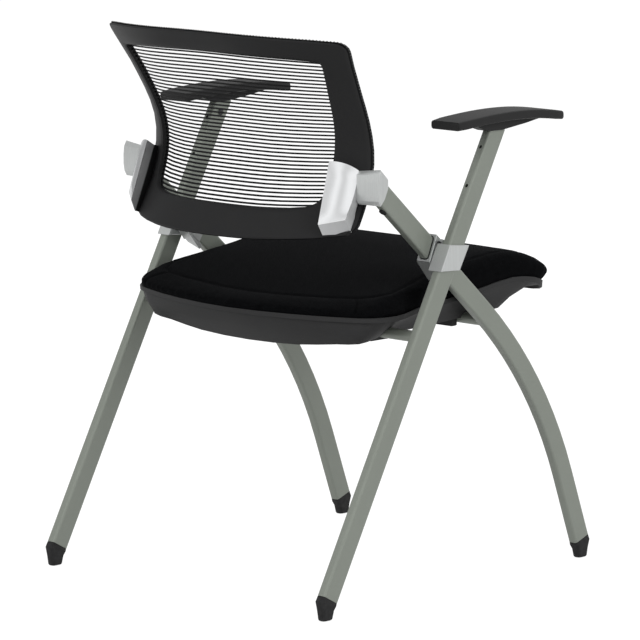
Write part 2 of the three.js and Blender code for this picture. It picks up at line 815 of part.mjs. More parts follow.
// Net: strands across the window between two selvedges, one body with a slot between each two strands
function backNet() {
  const columns = [-1, -0.975, -0.8, -0.62, -0.42, -0.22, 0, 0.22, 0.42, 0.62, 0.8, 0.975, 1];
  const lastColumn = columns.length - 1;
  const rows = 2 * NET_STRANDS + 1;
  const rowShare = (row) => {
    const pitch = 1 / NET_STRANDS;
    const strand = Math.floor(row / 2);
    return row % 2 === 0 ? strand * pitch : (strand + STRAND_SHARE) * pitch;
  };
  const lastShare = rowShare(rows - 2);
  const points = [];
  for (let row = 0; row < rows - 1; row += 1) {
    const share = rowShare(row) / lastShare;
    for (const column of columns) {
      const middle = THREE.MathUtils.lerp(windowBottomZ(0), windowTopZ(0), share);
      const trim = 12 * Math.max(0, 1 - share / 0.07) ** 2;
      const x = column * (windowHalf(middle) + NET_TUCK - trim);
      const z = THREE.MathUtils.lerp(windowBottomZ(x) - NET_TUCK, windowTopZ(x) + NET_TUCK, share);
      const y = backY(x, z) - NET_DEPTH;
      points.push(new THREE.Vector3(x, y, z), new THREE.Vector3(x, y - NET_THICK, z));
    }
  }
  const at = (row, column, front) => 2 * (row * columns.length + column) + front;
  const full = (row, column) => {
    if (row < 0 || row >= rows - 2 || column < 0 || column >= lastColumn) return false;
    return row % 2 === 0 || column === 0 || column === lastColumn - 1;
  };
  const triangles = [];
  const quad = (a, b, c, d) => triangles.push([a, b, c], [a, c, d]);
  for (let row = 0; row < rows - 2; row += 1) {
    for (let column = 0; column < lastColumn; column += 1) {
      if (!full(row, column)) continue;
      const corners = [
        [row, column],
        [row, column + 1],
        [row + 1, column + 1],
        [row + 1, column],
      ];
      quad(...corners.map(([r, c]) => at(r, c, 1)));
      quad(...corners.map(([r, c]) => at(r, c, 0)).reverse());
      const beside = [
        full(row - 1, column),
        full(row, column + 1),
        full(row + 1, column),
        full(row, column - 1),
      ];
      corners.forEach(([r, c], k) => {
        if (beside[k]) return;
        const [r2, c2] = corners[(k + 1) % 4];
        quad(at(r, c, 0), at(r2, c2, 0), at(r2, c2, 1), at(r, c, 1));
      });
    }
  }
  return geometryFrom(points, triangles);
}
place('back_mesh', backNet(), meshFabric);

// Back brackets: a casting that takes the front leg's top end, and a bright cover over its arm
const SOCKET = [
  [139.7, 592.6],
  [150, 601.6],
  [158.6, 607.4],
  [164.6, 600],
  [166.6, 588],
  [166.6, 574],
  [164, 563.5],
  [158, 556.6],
  [147.6, 564.6],
  [139.4, 580],
];
const SOCKET_X = [211.5, 252.4];
const SOCKET_LEAN = 6;
const SOCKET_LEAN_Y = 146;
const SOCKET_REAR_Y = 166.6;
const SOCKET_DIP = 4.5;
const SOCKET_DIP_Z = [595, 607.4];
const ARM_PLATE = [
  [199, 214, 596, 591],
  [196, 214, 583, 581],
  [196, 214, 568, 572],
];
const PLATE_THICK = 5;
const PLATE_DEEP = 20;
const SOCKET_EDGE = 1.6;

// The space that the frame fills behind a bracket, with the gap to it
const SPACE_X = { from: 140, step: 17, count: 6 };
const SPACE_Z = { from: 495, step: 15, count: 9 };
const SPACE_DEEP = 60;

function frameSpace(s, gap) {
  const rings = [];
  for (let k = 0; k <= SPACE_Z.count; k += 1) {
    const z = SPACE_Z.from + SPACE_Z.step * k;
    const rear = [];
    const front = [];
    for (let m = 0; m <= SPACE_X.count; m += 1) {
      const x = SPACE_X.from + SPACE_X.step * m;
      rear.push(new THREE.Vector3(s * x, backY(x, z) + gap, z));
      front.push(new THREE.Vector3(s * x, backY(x, z) - SPACE_DEEP, z));
    }
    rings.push([...rear, ...front.reverse()]);
  }
  return solid(loft(rings));
}

// The cover: its bright face, and a foot that draws in towards the frame
const COVER_FACE = [
  [179.3, 182.3, 615.9],
  [199, 172, 613.5],
  [215.4, 161, 604],
  [216.2, 172.6, 568.7],
  [213.5, 187, 538.6],
  [184.5, 210, 531.3],
];
const COVER_FOOT = [
  [187, 162, 607],
  [200, 154, 602.5],
  [211.5, 146, 597],
  [210, 157, 560],
  [209, 168, 517],
  [185.5, 202, 515.5],
];

const COVER_STEPS = 4;
const COVER_DEEP = 25;
const COVER_SINK = 5;

function bracketCover(s) {
  const ring = (corners, shift, sink = 0) => {
    const points = [];
    corners.forEach((corner, k) => {
      const next = corners[(k + 1) % corners.length];
      for (let step = 0; step < COVER_STEPS; step += 1) {
        const t = step / COVER_STEPS;
        const x = THREE.MathUtils.lerp(corner[0], next[0], t);
        const y = THREE.MathUtils.lerp(corner[1], next[1], t) + shift;
        const z = THREE.MathUtils.lerp(corner[2], next[2], t) - sink;
        points.push(new THREE.Vector3(s * x, y, z));
      }
    });
    return points;
  };
  const flat = ring(COVER_FACE, 0).map((p) => new THREE.Vector2(p.x, p.z));
  const root = ring(COVER_FOOT, -COVER_DEEP, COVER_SINK);
  const body = solid(loft([root, ring(COVER_FOOT, 0), ring(COVER_FACE, 0)], flat));
  const hollow = armPlate(s, GAP).add(socketBlock(s, GAP));
  return geometryOf(body.subtract(frameSpace(s, SKIN_GAP)).subtract(hollow));
}

// The casting's arm, a plate that lies on the frame under the cover
function armPlate(s, extra) {
  const rings = ARM_PLATE.map(([inner, outer, zInner, zOuter], k) => {
    const lift = extra * (1 - k);
    const corners = [
      [inner - extra, zInner + lift],
      [outer + extra, zOuter + lift],
    ];
    const rear = corners.map(([x, z]) => new THREE.Vector3(s * x, backY(x, z) + PLATE_THICK + extra, z));
    const front = corners.map(([x, z]) => new THREE.Vector3(s * x, backY(x, z) - PLATE_DEEP, z));
    return [...rear, ...front.reverse()];
  });
  return solid(loft(rings));
}

function socketBlock(s, extra) {
  const block = slab(SOCKET, s * SOCKET_X[0], s * SOCKET_X[1], SOCKET_EDGE);
  const position = block.attributes.position;
  for (let i = 0; i < position.count; i += 1) {
    const outward = (Math.abs(position.getX(i)) - SOCKET_X[0]) / (SOCKET_X[1] - SOCKET_X[0]);
    const rearward = Math.max(0, position.getY(i) - SOCKET_LEAN_Y) / (SOCKET_REAR_Y - SOCKET_LEAN_Y);
    position.setY(i, position.getY(i) - SOCKET_LEAN * outward * rearward);
    const high = THREE.MathUtils.smoothstep(position.getZ(i), ...SOCKET_DIP_Z);
    position.setZ(i, position.getZ(i) - SOCKET_DIP * (1 - outward) * high);
  }
  if (extra > 0) {
    block.computeBoundingBox();
    const size = block.boundingBox.getSize(new THREE.Vector3());
    const middle = block.boundingBox.getCenter(new THREE.Vector3());
    const grow = size.clone().addScalar(2 * extra).divide(size);
    block.translate(-middle.x, -middle.y, -middle.z);
    block.scale(grow.x, grow.y, grow.z);
    block.translate(middle.x, middle.y, middle.z);
  }
  return solid(block);
}

function backBracket(s) {
  const bore = solid(frontLegTube(s, GAP, false));
  const body = socketBlock(s, 0).add(armPlate(s, 0));
  return geometryOf(body.subtract(frameSpace(s, SKIN_GAP)).subtract(bore));
}

for (const { side, s } of SIDES) {
  place(`back_bracket_${side}`, backBracket(s), castAluminium);
  place(`bracket_cover_${side}`, bracketCover(s), brightCover);
}
place('back_frame', backFrame, backPlastic);

// Seat plans: half outlines [x, y, z] from the front middle to the rear middle. The seat is narrow between
// the front legs and wide behind them, with a rounded rear edge.
const RIM_PLAN = [
  [0, -247, 406],
  [110, -246, 406],
  [184, -241, 407],
  [214, -226, 411],
  [222.8, -198, 419.5],
  [223, -152, 424],
  [223, -80, 415],
  [223, -10, 407.4],
  [227, 38, 404.6],
  [242, 84, 402],
  [248.5, 118, 400],
  [233, 147, 398.6],
  [194, 165, 397.6],
  [110, 190, 397],
  [0, 204, 396.7],
];
const KNEE_PLAN = [
  [0, -214, 400.5],
  [100, -213, 400.5],
  [172, -211, 401],
  [200, -204, 402],
  [210, -190, 404.5],
  [213, -145, 406],
  [214, -78, 399],
  [213, -13, 391],
  [213, 38, 387],
  [218, 85, 384],
  [230, 119, 382],
  [219, 148, 377.5],
  [184, 162, 377],
  [105, 179, 373],
  [0, 187, 371],
];
const SHIN_PLAN = [
  [0, -184, 389],
  [100, -183, 389],
  [165, -181, 389],
  [192, -177, 390],
  [203, -166, 391],
  [206, -125, 392],
  [207, -72, 388],
  [206, -13, 383],
  [204, 38, 378],
  [204, 85, 374],
  [218, 120, 372],
  [210, 147, 368.5],
  [176, 157, 367],
  [100, 169, 361],
  [0, 174, 358],
];
const FLOOR_PLAN = [
  [0, -166, 367],
  [100, -165, 370],
  [160, -163, 374.5],
  [188, -158, 376.5],
  [198, -148, 377],
  [200, -110, 375.5],
  [200, -62, 372],
  [199, -13, 369],
  [197, 38, 367],
  [195, 85, 365],
  [207, 122, 363],
  [203, 146.5, 359],
  [164, 151, 355],
  [95, 158, 348],
  [0, 160, 345],
];
const PLAN_STEPS = 2;

// A closed ring through a half plan and its mirror image, drawn in towards the seat's middle
function seatRing(plan, inset = 0, lift = 0) {
  const halfLong = (plan[plan.length - 1][1] - plan[0][1]) / 2;
  const halfWide = Math.max(...plan.map(([x]) => x));
  const middle = (plan[plan.length - 1][1] + plan[0][1]) / 2;
  const mirrored = plan.slice(1, -1).map(([x, y, z]) => [-x, y, z]);
  const around = [...plan, ...mirrored.reverse()].map((corner) => new THREE.Vector3(...corner));
  const curve = new THREE.CatmullRomCurve3(around, true, 'centripetal');
  const count = around.length * PLAN_STEPS;
  const ring = [];
  for (let k = 0; k < count; k += 1) {
    const p = curve.getPoint(k / count);
    const x = p.x * (1 - inset / halfWide);
    const y = middle + (p.y - middle) * (1 - inset / halfLong);
    ring.push(new THREE.Vector3(x, y, p.z + lift));
  }
  return ring;
}

// The cushion's shoulder: how far its edge stands above the seam, by y
const shoulder = smooth([
  [-247, 31.5],
  [-200, 34.5],
  [-150, 37],
  [-52, 41],
  [23, 37],
  [70, 29.8],
  [120, 23],
  [160, 17],
  [204, 14],
]);
const CUSHION_RINGS = [
  { inset: 3.5, share: 0, crown: 0 },
  { inset: 0, share: 0.2, crown: 0 },
  { inset: -2.5, share: 0.42, crown: 0 },
  { inset: 0, share: 0.66, crown: 0 },
  { inset: 7, share: 0.87, crown: 0 },
  { inset: 20, share: 1, crown: 0.4 },
  { inset: 45, share: 1, crown: 0.8 },
  { inset: 90, share: 1, crown: 1.6 },
  { inset: 150, share: 1, crown: 2.2 },
];
const CUSHION_LIFT = 0.8;
const NOSE_BULGE = 8;
const NOSE_START_Y = -150;
const NOSE_LONG = 97;
const HIP_DRAW = 12;
const HIP_START_X = 225;
const HIP_FULL_X = 244;
const HIP_SHARE = 0.42;
const LEVEL_INSET = 45;
const seamZ = smooth(RIM_PLAN.slice(1).map(([, y, z]) => [y, z]));

function seatCushion() {
  const rings = CUSHION_RINGS.map(({ inset, share, crown }) =>
    seatRing(RIM_PLAN, inset, CUSHION_LIFT).map((p) => {
      const roll = Math.max(0, NOSE_START_Y - p.y) / NOSE_LONG;
      const nose = NOSE_BULGE * roll * Math.sin(Math.PI * Math.min(1, share));
      const wide = THREE.MathUtils.smoothstep(Math.abs(p.x), HIP_START_X, HIP_FULL_X);
      const hip = wide * Math.min(1, share / HIP_SHARE);
      const x = p.x - Math.sign(p.x) * HIP_DRAW * hip;
      const level = THREE.MathUtils.clamp(inset / LEVEL_INSET, 0, 1);
      const seam = THREE.MathUtils.lerp(p.z, seamZ(p.y) + CUSHION_LIFT, level);
      return new THREE.Vector3(x, p.y - nose, seam + share * shoulder(p.y) + crown);
    }),
  );
  return loft(rings);
}
place('seat_cushion', seatCushion(), seatFabric, seatGroup);

const BOARD_THICK = 7;
const BOARD_INSET = 34;

function seatBoard() {
  const under = (depth) =>
    seatRing(RIM_PLAN, BOARD_INSET).map((p) => new THREE.Vector3(p.x, p.y, seamZ(p.y) - depth));
  return loft([under(BOARD_THICK + 0.6), under(0.6)]);
}
place('seat_board', seatBoard(), plywood, seatGroup);

// Pan: a moulded tray with an upright rim band, and a body that slopes in below it
const bellyZ = (edgeZ) => 350 + 0.3 * (edgeZ - 346);
const BAND = 7;
const SKIRT_THICK = 3;
const skirtDrop = smooth([
  [-247, 14],
  [-238, 13.4],
  [-222, 10],
  [-196, 8.6],
  [-150, BAND],
  [-80, BAND],
]);

// The band hangs lower round the front, as a skirt with a groove behind it
function skirt() {
  const hanging = (inset) =>
    seatRing(RIM_PLAN, inset).map((p) => p.setZ(p.z - Math.max(BAND, skirtDrop(p.y))));
  return [hanging(0.5), hanging(SKIRT_THICK), seatRing(RIM_PLAN, SKIRT_THICK + 0.5, -BAND)];
}

function panBody(inset, lift, openTop) {
  const rings = [
    seatRing(RIM_PLAN, inset, -0.5 + lift),
    ...(openTop ? [seatRing(RIM_PLAN, inset + 0.5, -BAND + lift)] : skirt()),
    seatRing(KNEE_PLAN, inset, lift),
    seatRing(SHIN_PLAN, inset, lift),
    seatRing(FLOOR_PLAN, inset, lift),
    seatRing(FLOOR_PLAN, inset + 70).map((p) => new THREE.Vector3(p.x, p.y, bellyZ(p.z) + lift)),
  ];
  if (openTop) {
    rings.unshift(seatRing(RIM_PLAN, inset, 12));
  }
  return solid(loft(rings));
}

const HINGE_X = [166, 196];
const HINGE_HALF = 19;
const HINGE_CLEAR = 0.25;
const CHANNEL_CLEAR = 0.6;
const SADDLE_X = [162, 193];
const SADDLE_HALF = 15;
const SADDLE_HEEL = 20;
const SADDLE_TOP_Z = 386;
const SADDLE_TOE_Z = 364;
const SADDLE_SOLE_Z = 360.2;
const SADDLE_STEP_Z = 370;
const SADDLE_REACH_X = [140, 220];
const SADDLE_SLOPE = 3;
const CHANNEL_HALF = 14;
const CHANNEL_Z = [340, 386];
const BOSS_Z = [335, 383];
const OPEN_Z = 330;
const CHANNEL_REACH = 240;
const HINGE_SLOT_X = [130, 260];

function barSpace(bar, clear, bottom) {
  const radius = BAR_RADIUS + clear;
  const outline = [];
  for (let k = 0; k <= 12; k += 1) {
    const angle = (Math.PI * k) / 12;
    outline.push([bar.y + radius * Math.cos(angle), bar.z + radius * Math.sin(angle)]);
  }
  outline.push([bar.y - radius, bottom], [bar.y + radius, bottom]);
  return outline;
}

function seatPan() {
  const outer = panBody(0, 0, false);
  const cavity = panBody(PAN_WALL, PAN_WALL, true);
  let body = outer.subtract(cavity);
  const channel = slab(
    [
      [FRONT_BAR.y - CHANNEL_HALF, CHANNEL_Z[0]],
      [FRONT_BAR.y + CHANNEL_HALF, CHANNEL_Z[0]],
      [FRONT_BAR.y + CHANNEL_HALF, CHANNEL_Z[1]],
      [FRONT_BAR.y - CHANNEL_HALF, CHANNEL_Z[1]],
    ],
    -HALF_SEAT,
    HALF_SEAT,
  );
  body = body.add(solid(channel).intersect(outer));
  for (const s of [1, -1]) {
    const boss = slab(
      [
        [REAR_BAR.y - HINGE_HALF, BOSS_Z[0]],
        [REAR_BAR.y + HINGE_HALF, BOSS_Z[0]],
        [REAR_BAR.y + HINGE_HALF, BOSS_Z[1]],
        [REAR_BAR.y - HINGE_HALF, BOSS_Z[1]],
      ],
      s * HINGE_X[0],
      s * HINGE_X[1],
    );
    body = body.add(solid(boss).intersect(outer));
  }
  const frontSlot = slab(barSpace(FRONT_BAR, CHANNEL_CLEAR, OPEN_Z), -CHANNEL_REACH, CHANNEL_REACH);
  body = body.subtract(solid(frontSlot));
  for (const s of [1, -1]) {
    const [x0, x1] = HINGE_SLOT_X;
    const slot = slab(barSpace(REAR_BAR, HINGE_CLEAR, OPEN_Z), s * x0, s * x1);
    body = body.subtract(solid(slot)).subtract(capSpace(s)).subtract(saddleBlock(s, GAP));
  }
  return geometryOf(body);
}

// Hinge caps: they close the pan's bosses under the rear bar, each held by two screws
const CAP_THICK = 5.5;
const CAP_TOP_Z = 364;
const CAP_OVERHANG = 1;
const CAP_EDGE = 0.6;
const CAP_SPACE_DROP = 12;

function capOutline(extra) {
  const half = HINGE_HALF + CAP_OVERHANG + extra;
  const bottom = CAP_TOP_Z - CAP_THICK - (extra > 0 ? CAP_SPACE_DROP : 0);
  return [
    [REAR_BAR.y - half, bottom],
    [REAR_BAR.y + half, bottom],
    [REAR_BAR.y + half, CAP_TOP_Z + extra],
    [REAR_BAR.y - half, CAP_TOP_Z + extra],
  ];
}

function capSpace(s) {
  const [x0, x1] = HINGE_X;
  return solid(slab(capOutline(GAP), s * (x0 - CAP_OVERHANG), s * (x1 + CAP_OVERHANG)));
}

function hingeCap(s) {
  const [x0, x1] = HINGE_X;
  const plate = solid(slab(capOutline(0), s * x0, s * x1, CAP_EDGE));
  const bar = rod(
    new THREE.Vector3(s * (x0 - BAR_RADIUS), REAR_BAR.y, REAR_BAR.z),
    new THREE.Vector3(s * (x1 + BAR_RADIUS), REAR_BAR.y, REAR_BAR.z),
    BAR_RADIUS + HINGE_CLEAR,
    BAR_SIDES,
  );
  return geometryOf(plate.subtract(solid(bar)));
}

for (const { side, s } of SIDES) {
  place(`hinge_cap_${side}`, hingeCap(s), panPlastic, seatGroup);
}
place('seat_pan', seatPan(), panPlastic, seatGroup);

// Saddles: blocks in the pan's channel that the seat rests on the front bar with
function saddleBlock(s, extra) {
  const y = FRONT_BAR.y;
  const outline = [
    [y - SADDLE_HALF - extra, SADDLE_TOP_Z + extra],
    [y - SADDLE_HALF - extra, SADDLE_TOE_Z - extra],
    [y + SADDLE_HALF - SADDLE_SLOPE, SADDLE_SOLE_Z - extra],
    [y + SADDLE_HEEL + extra, SADDLE_SOLE_Z - extra],
    [y + SADDLE_HEEL + extra, SADDLE_STEP_Z],
    [y + SADDLE_HALF + extra, SADDLE_STEP_Z + SADDLE_SLOPE],
    [y + SADDLE_HALF + extra, SADDLE_TOP_Z + extra],
  ];
  return solid(slab(outline, s * (SADDLE_X[0] - extra), s * (SADDLE_X[1] + extra)));
}

for (const { side, s } of SIDES) {
  const [x0, x1] = SADDLE_REACH_X;
  const bar = solid(slab(barSpace(FRONT_BAR, GAP, OPEN_Z), s * x0, s * x1));
  place(`seat_saddle_${side}`, geometryOf(saddleBlock(s, 0).subtract(bar)), panPlastic, seatGroup);
}

export default group;
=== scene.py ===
import json
import math

import bpy
import numpy as np
from bpy.props import FloatProperty, FloatVectorProperty, PointerProperty
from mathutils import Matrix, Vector

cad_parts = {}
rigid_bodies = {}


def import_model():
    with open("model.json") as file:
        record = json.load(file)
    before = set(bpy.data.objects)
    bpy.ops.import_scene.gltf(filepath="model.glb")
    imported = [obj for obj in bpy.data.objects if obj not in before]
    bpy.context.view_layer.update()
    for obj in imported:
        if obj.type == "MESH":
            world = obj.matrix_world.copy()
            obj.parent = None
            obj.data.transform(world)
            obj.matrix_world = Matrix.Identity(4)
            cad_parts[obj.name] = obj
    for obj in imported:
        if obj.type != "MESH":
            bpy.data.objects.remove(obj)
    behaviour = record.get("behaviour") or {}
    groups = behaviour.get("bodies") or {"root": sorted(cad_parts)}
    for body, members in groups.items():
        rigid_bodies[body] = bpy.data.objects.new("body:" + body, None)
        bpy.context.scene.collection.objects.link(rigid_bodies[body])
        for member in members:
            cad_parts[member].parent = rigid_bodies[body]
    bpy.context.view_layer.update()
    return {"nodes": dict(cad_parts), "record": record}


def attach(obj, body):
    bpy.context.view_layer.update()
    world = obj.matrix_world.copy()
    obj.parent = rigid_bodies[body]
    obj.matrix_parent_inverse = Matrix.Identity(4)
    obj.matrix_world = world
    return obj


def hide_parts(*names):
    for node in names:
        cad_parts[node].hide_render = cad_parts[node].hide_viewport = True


bl_info = {
    "name": "Nesting chair",
    "version": (1, 0, 0),
    "blender": (4, 5, 0),
    "location": "3D View > Sidebar > Chair",
    "description": "Dresses the packed nesting chair: painted legs, castings, net back and seat cushion",
    "category": "Object",
}

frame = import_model()
SIDES = ("left", "right")
MM = 0.001

# Camera of the photograph: place, direction and lens
CAMERA_PLACE = (-4.740, 4.955, 1.424)
CAMERA_AZIMUTH = math.radians(223.807)
CAMERA_ELEVATION = math.radians(8.863)
CAMERA_LENS = 271.74

# Tilt of the rear legs about X, along which the cast sleeves are brushed
SLEEVE_TILT = math.radians(28.6)

# Sewn seam between the cushion's top and its band, half of it from the rear middle to the front middle
TOP_SEAM = [
    (0, 160),
    (50, 158),
    (100, 151),
    (147, 142),
    (185, 132),
    (205, 120),
    (218, 98),
    (215, 60),
    (207, 20),
    (204, -40),
    (204, -100),
    (204, -150),
    (202, -190),
    (188, -216),
    (150, -225),
    (80, -228),
    (0, -229),
]
CORNER_SEAM = [(185, 132), (200, 148), (212, 166)]
CUSHION_VOXEL = 0.005
CUSHION_SHRINK = 0.0012
PUFF_FRAMES = 20

# What faces down more than this is the cushion's underside, which sinks this far onto its board
CUSHION_UNDER = -0.2
CUSHION_SETTLE = 0.003

# What the cloth holds fast: seams this near, in voxels, where it faces up, and all that doesn't face up
HELD_SEAM = 0.7
HELD_SEAM_UP = 0.1
HELD_NOT_UP = 0.05

# Vertices this near each other are one, and faces within this angle, in degrees, are flat together
NODE_MERGE = 0.00002
COVER_MERGE = 0.00005
FLAT_ANGLE = 0.4

# Corners of the left cover: its bright face and its foot on the frame, from the upper inner corner round
COVER_FACE = [
    (179.3, 182.3, 615.9),
    (199, 172, 613.5),
    (215.4, 161, 604),
    (216.2, 172.6, 568.7),
    (213.5, 187, 538.6),
    (184.5, 210, 531.3),
]
COVER_FOOT = [
    (187, 162, 607),
    (200, 154, 602.5),
    (211.5, 146, 597),
    (210, 157, 560),
    (209, 168, 517),
    (185.5, 202, 515.5),
]
COVER_CELLS = 20
COVER_SKIRT = 2

# The cover's wall runs this far down and into the frame, whose surface is sought from behind it and no
# further out than the reach
COVER_SINK = 0.003
COVER_INTO = 0.002
COVER_REACH = 0.204
COVER_BEHIND = 0.4

# The cover's crown stands out this way, and drops off over one part in five at the top and bottom
COVER_OUT = (0.28, 0.93, 0.24)
COVER_RAMP = 5

# The rim's outer wall: its depth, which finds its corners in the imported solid, and where it lies
RIM_WALL = 0.004
RIM_EDGE_X = 0.2
RIM_EDGE_Z = 0.775
SAME_PLACE = 0.00005
SAME_DEPTH = 0.0001

# How far below the rim's middle the point lies that the wall's points are put in order round
RIM_CENTRE_DROP = 0.05

# Where the stitches start, and a stitch's length and width as shares of its pitch and thickness
STITCH_LOWEST = 0.53
STITCH_LENGTH = 0.6
STITCH_WIDTH = 1.2

# Thickness of two layers of the board
PLY_PAIR = 0.0024

# Soft lights: name, setting of the power, place, width and height, and the point that all face
LIGHTS = (
    ("key_light", "key_power", (1.2, 4.6, 3.4), 2.6, 2.2),
    ("fill_light", "fill_power", (-4.4, 0.2, 1.9), 2.2, 2.6),
    ("front_light", "fill_power", (0.8, -4.2, 2.6), 2.6, 2.2),
)
LIGHT_AIM = (0, 0, 0.42)
FLOOR_DROP = 0.0006

# Strips of the surround that only mirrors show: the way across them in x and y, and their waves
STRIP_X = 0.72
STRIP_Y = 0.69
STRIP_WAVES = 11.0
STRIP_SHIFT = 2.5


class ChairSizes(bpy.types.PropertyGroup):
    """Sizes of the finishing details, in metres."""

    casting_edge: FloatProperty(
        name="Casting edge",
        description="Width of the rounding on the edges of the castings and covers",
        default=0.0008,
        min=0.0001,
        max=0.003,
        unit="LENGTH",
    )
    plastic_edge: FloatProperty(
        name="Plastic edge",
        description="Width of the rounding on the edges of the moulded parts",
        default=0.0006,
        min=0.0001,
        max=0.003,
        unit="LENGTH",
    )
    grain: FloatProperty(
        name="Moulded grain",
        description="Size of the fine grain on the moulded plastic",
        default=0.0011,
        min=0.0003,
        max=0.005,
        unit="LENGTH",
    )
    weave: FloatProperty(
        name="Fabric weave",
        description="Distance between two threads of the seat fabric",
        default=0.0016,
        min=0.0005,
        max=0.005,
        unit="LENGTH",
    )
    puff: FloatProperty(
        name="Cushion puff",
        description="How far the cushion's fabric may swell between its seams",
        default=0.0026,
        min=0.0,
        max=0.005,
        unit="LENGTH",
    )
    seam_depth: FloatProperty(
        name="Seam depth",
        description="How deep the sewn seams draw the cushion's fabric in",
        default=0.0016,
        min=0.0,
        max=0.004,
        unit="LENGTH",
    )
    seam_width: FloatProperty(
        name="Seam width",
        description="Width of the crease that a seam leaves on each side",
        default=0.0034,
        min=0.001,
        max=0.01,
        unit="LENGTH",
    )
    cover_crown: FloatProperty(
        name="Cover crown",
        description="How far the bright covers stand proud in their middle",
        default=0.0025,
        min=0.0,
        max=0.006,
        unit="LENGTH",
    )
    stitch_pitch: FloatProperty(
        name="Stitch pitch",
        description="Distance between two stitches on the edge of the back",
        default=0.0049,
        min=0.002,
        max=0.01,
        unit="LENGTH",
    )
    stitch_thick: FloatProperty(
        name="Stitch thickness",
        description="Thickness of the thread on the edge of the back",
        default=0.0022,
        min=0.0005,
        max=0.003,
        unit="LENGTH",
    )


class ChairColours(bpy.types.PropertyGroup):
    """Base colours of the finishes, linear."""

    leg_paint: FloatVectorProperty(
        name="Leg paint",
        description="Satin paint on the legs and bars",
        subtype="COLOR",
        size=3,
        default=(0.245, 0.265, 0.232),
        min=0.0,
        max=1.0,
    )
    cast_aluminium: FloatVectorProperty(
        name="Cast aluminium",
        description="Satin castings on the legs and the back",
        subtype="COLOR",
        size=3,
        default=(0.585, 0.602, 0.596),
        min=0.0,
        max=1.0,
    )
    bright_cover: FloatVectorProperty(
        name="Bright cover",
        description="Polished covers on the back's brackets",
        subtype="COLOR",
        size=3,
        default=(0.88, 0.89, 0.9),
        min=0.0,
        max=1.0,
    )
    back_plastic: FloatVectorProperty(
        name="Back plastic",
        description="Moulded frame of the back",
        subtype="COLOR",
        size=3,
        default=(0.0165, 0.0165, 0.017),
        min=0.0,
        max=1.0,
    )
    rim_cloth: FloatVectorProperty(
        name="Rim",
        description="Rim that carries the net",
        subtype="COLOR",
        size=3,
        default=(0.006, 0.006, 0.0065),
        min=0.0,
        max=1.0,
    )
    pan_plastic: FloatVectorProperty(
        name="Pan plastic",
        description="Moulded pan under the seat",
        subtype="COLOR",
        size=3,
        default=(0.031, 0.031, 0.0315),
        min=0.0,
        max=1.0,
    )
    arm_plastic: FloatVectorProperty(
        name="Armrest plastic",
        description="Moulded armrest pads",
        subtype="COLOR",
        size=3,
        default=(0.02, 0.02, 0.0203),
        min=0.0,
        max=1.0,
    )
    seat_fabric: FloatVectorProperty(
        name="Seat fabric",
        description="Woven cover of the cushion",
        subtype="COLOR",
        size=3,
        default=(0.0024, 0.0025, 0.0028),
        min=0.0,
        max=1.0,
    )
    net_thread: FloatVectorProperty(
        name="Net thread",
        description="Strands of the net in the back",
        subtype="COLOR",
        size=3,
        default=(0.005, 0.005, 0.0055),
        min=0.0,
        max=1.0,
    )
    stitch_thread: FloatVectorProperty(
        name="Stitch thread",
        description="Stitching round the back's edge",
        subtype="COLOR",
        size=3,
        default=(0.085, 0.085, 0.083),
        min=0.0,
        max=1.0,
    )
    foot_rubber: FloatVectorProperty(
        name="Foot rubber",
        description="Feet and end plugs",
        subtype="COLOR",
        size=3,
        default=(0.018, 0.018, 0.0185),
        min=0.0,
        max=1.0,
    )


class ChairStudio(bpy.types.PropertyGroup):
    """Lights and background of the stage."""

    key_power: FloatProperty(
        name="Key light",
        description="Power of the large soft light at the upper left, in watts",
        default=105.0,
        min=0.0,
        max=2000.0,
    )
    fill_power: FloatProperty(
        name="Fill light",
        description="Power of the soft lights at the right and in front of the chair, in watts",
        default=75.0,
        min=0.0,
        max=2000.0,
    )
    surround: FloatProperty(
        name="Surround",
        description="Strength of the even light from all round",
        default=0.68,
        min=0.0,
        max=2.0,
    )
    floor_half: FloatProperty(
        name="Floor",
        description="Half of the floor's width",
        default=30.0,
        min=2.0,
        max=100.0,
        unit="LENGTH",
    )


class Wire:
    """A shader socket. Sums and products with wires and numbers add Math nodes."""

    def __init__(self, finish, socket):
        self.finish = finish
        self.socket = socket

    def __add__(self, other):
        return self.finish.math("ADD", self, other)

    def __mul__(self, other):
        return self.finish.math("MULTIPLY", self, other)

    def __sub__(self, other):
        return self.finish.math("SUBTRACT", self, other)

    def __rsub__(self, other):
        return self.finish.math("SUBTRACT", other, self)

    def larger(self, other):
        return self.finish.math("MAXIMUM", self, other)

    def sine(self):
        return self.finish.math("SINE", self)

    def wave(self):
        """A sine that runs between 0 and 1."""
        return self.sine() * 0.5 + 0.5

    def between(self, low, high):
        """0 below low, 1 above high, and straight between them."""
        span = {"Value": self, "From Min": low, "From Max": high}
        return self.finish.out(self.finish.node("ShaderNodeMapRange", {"clamp": True}, span), "Result")


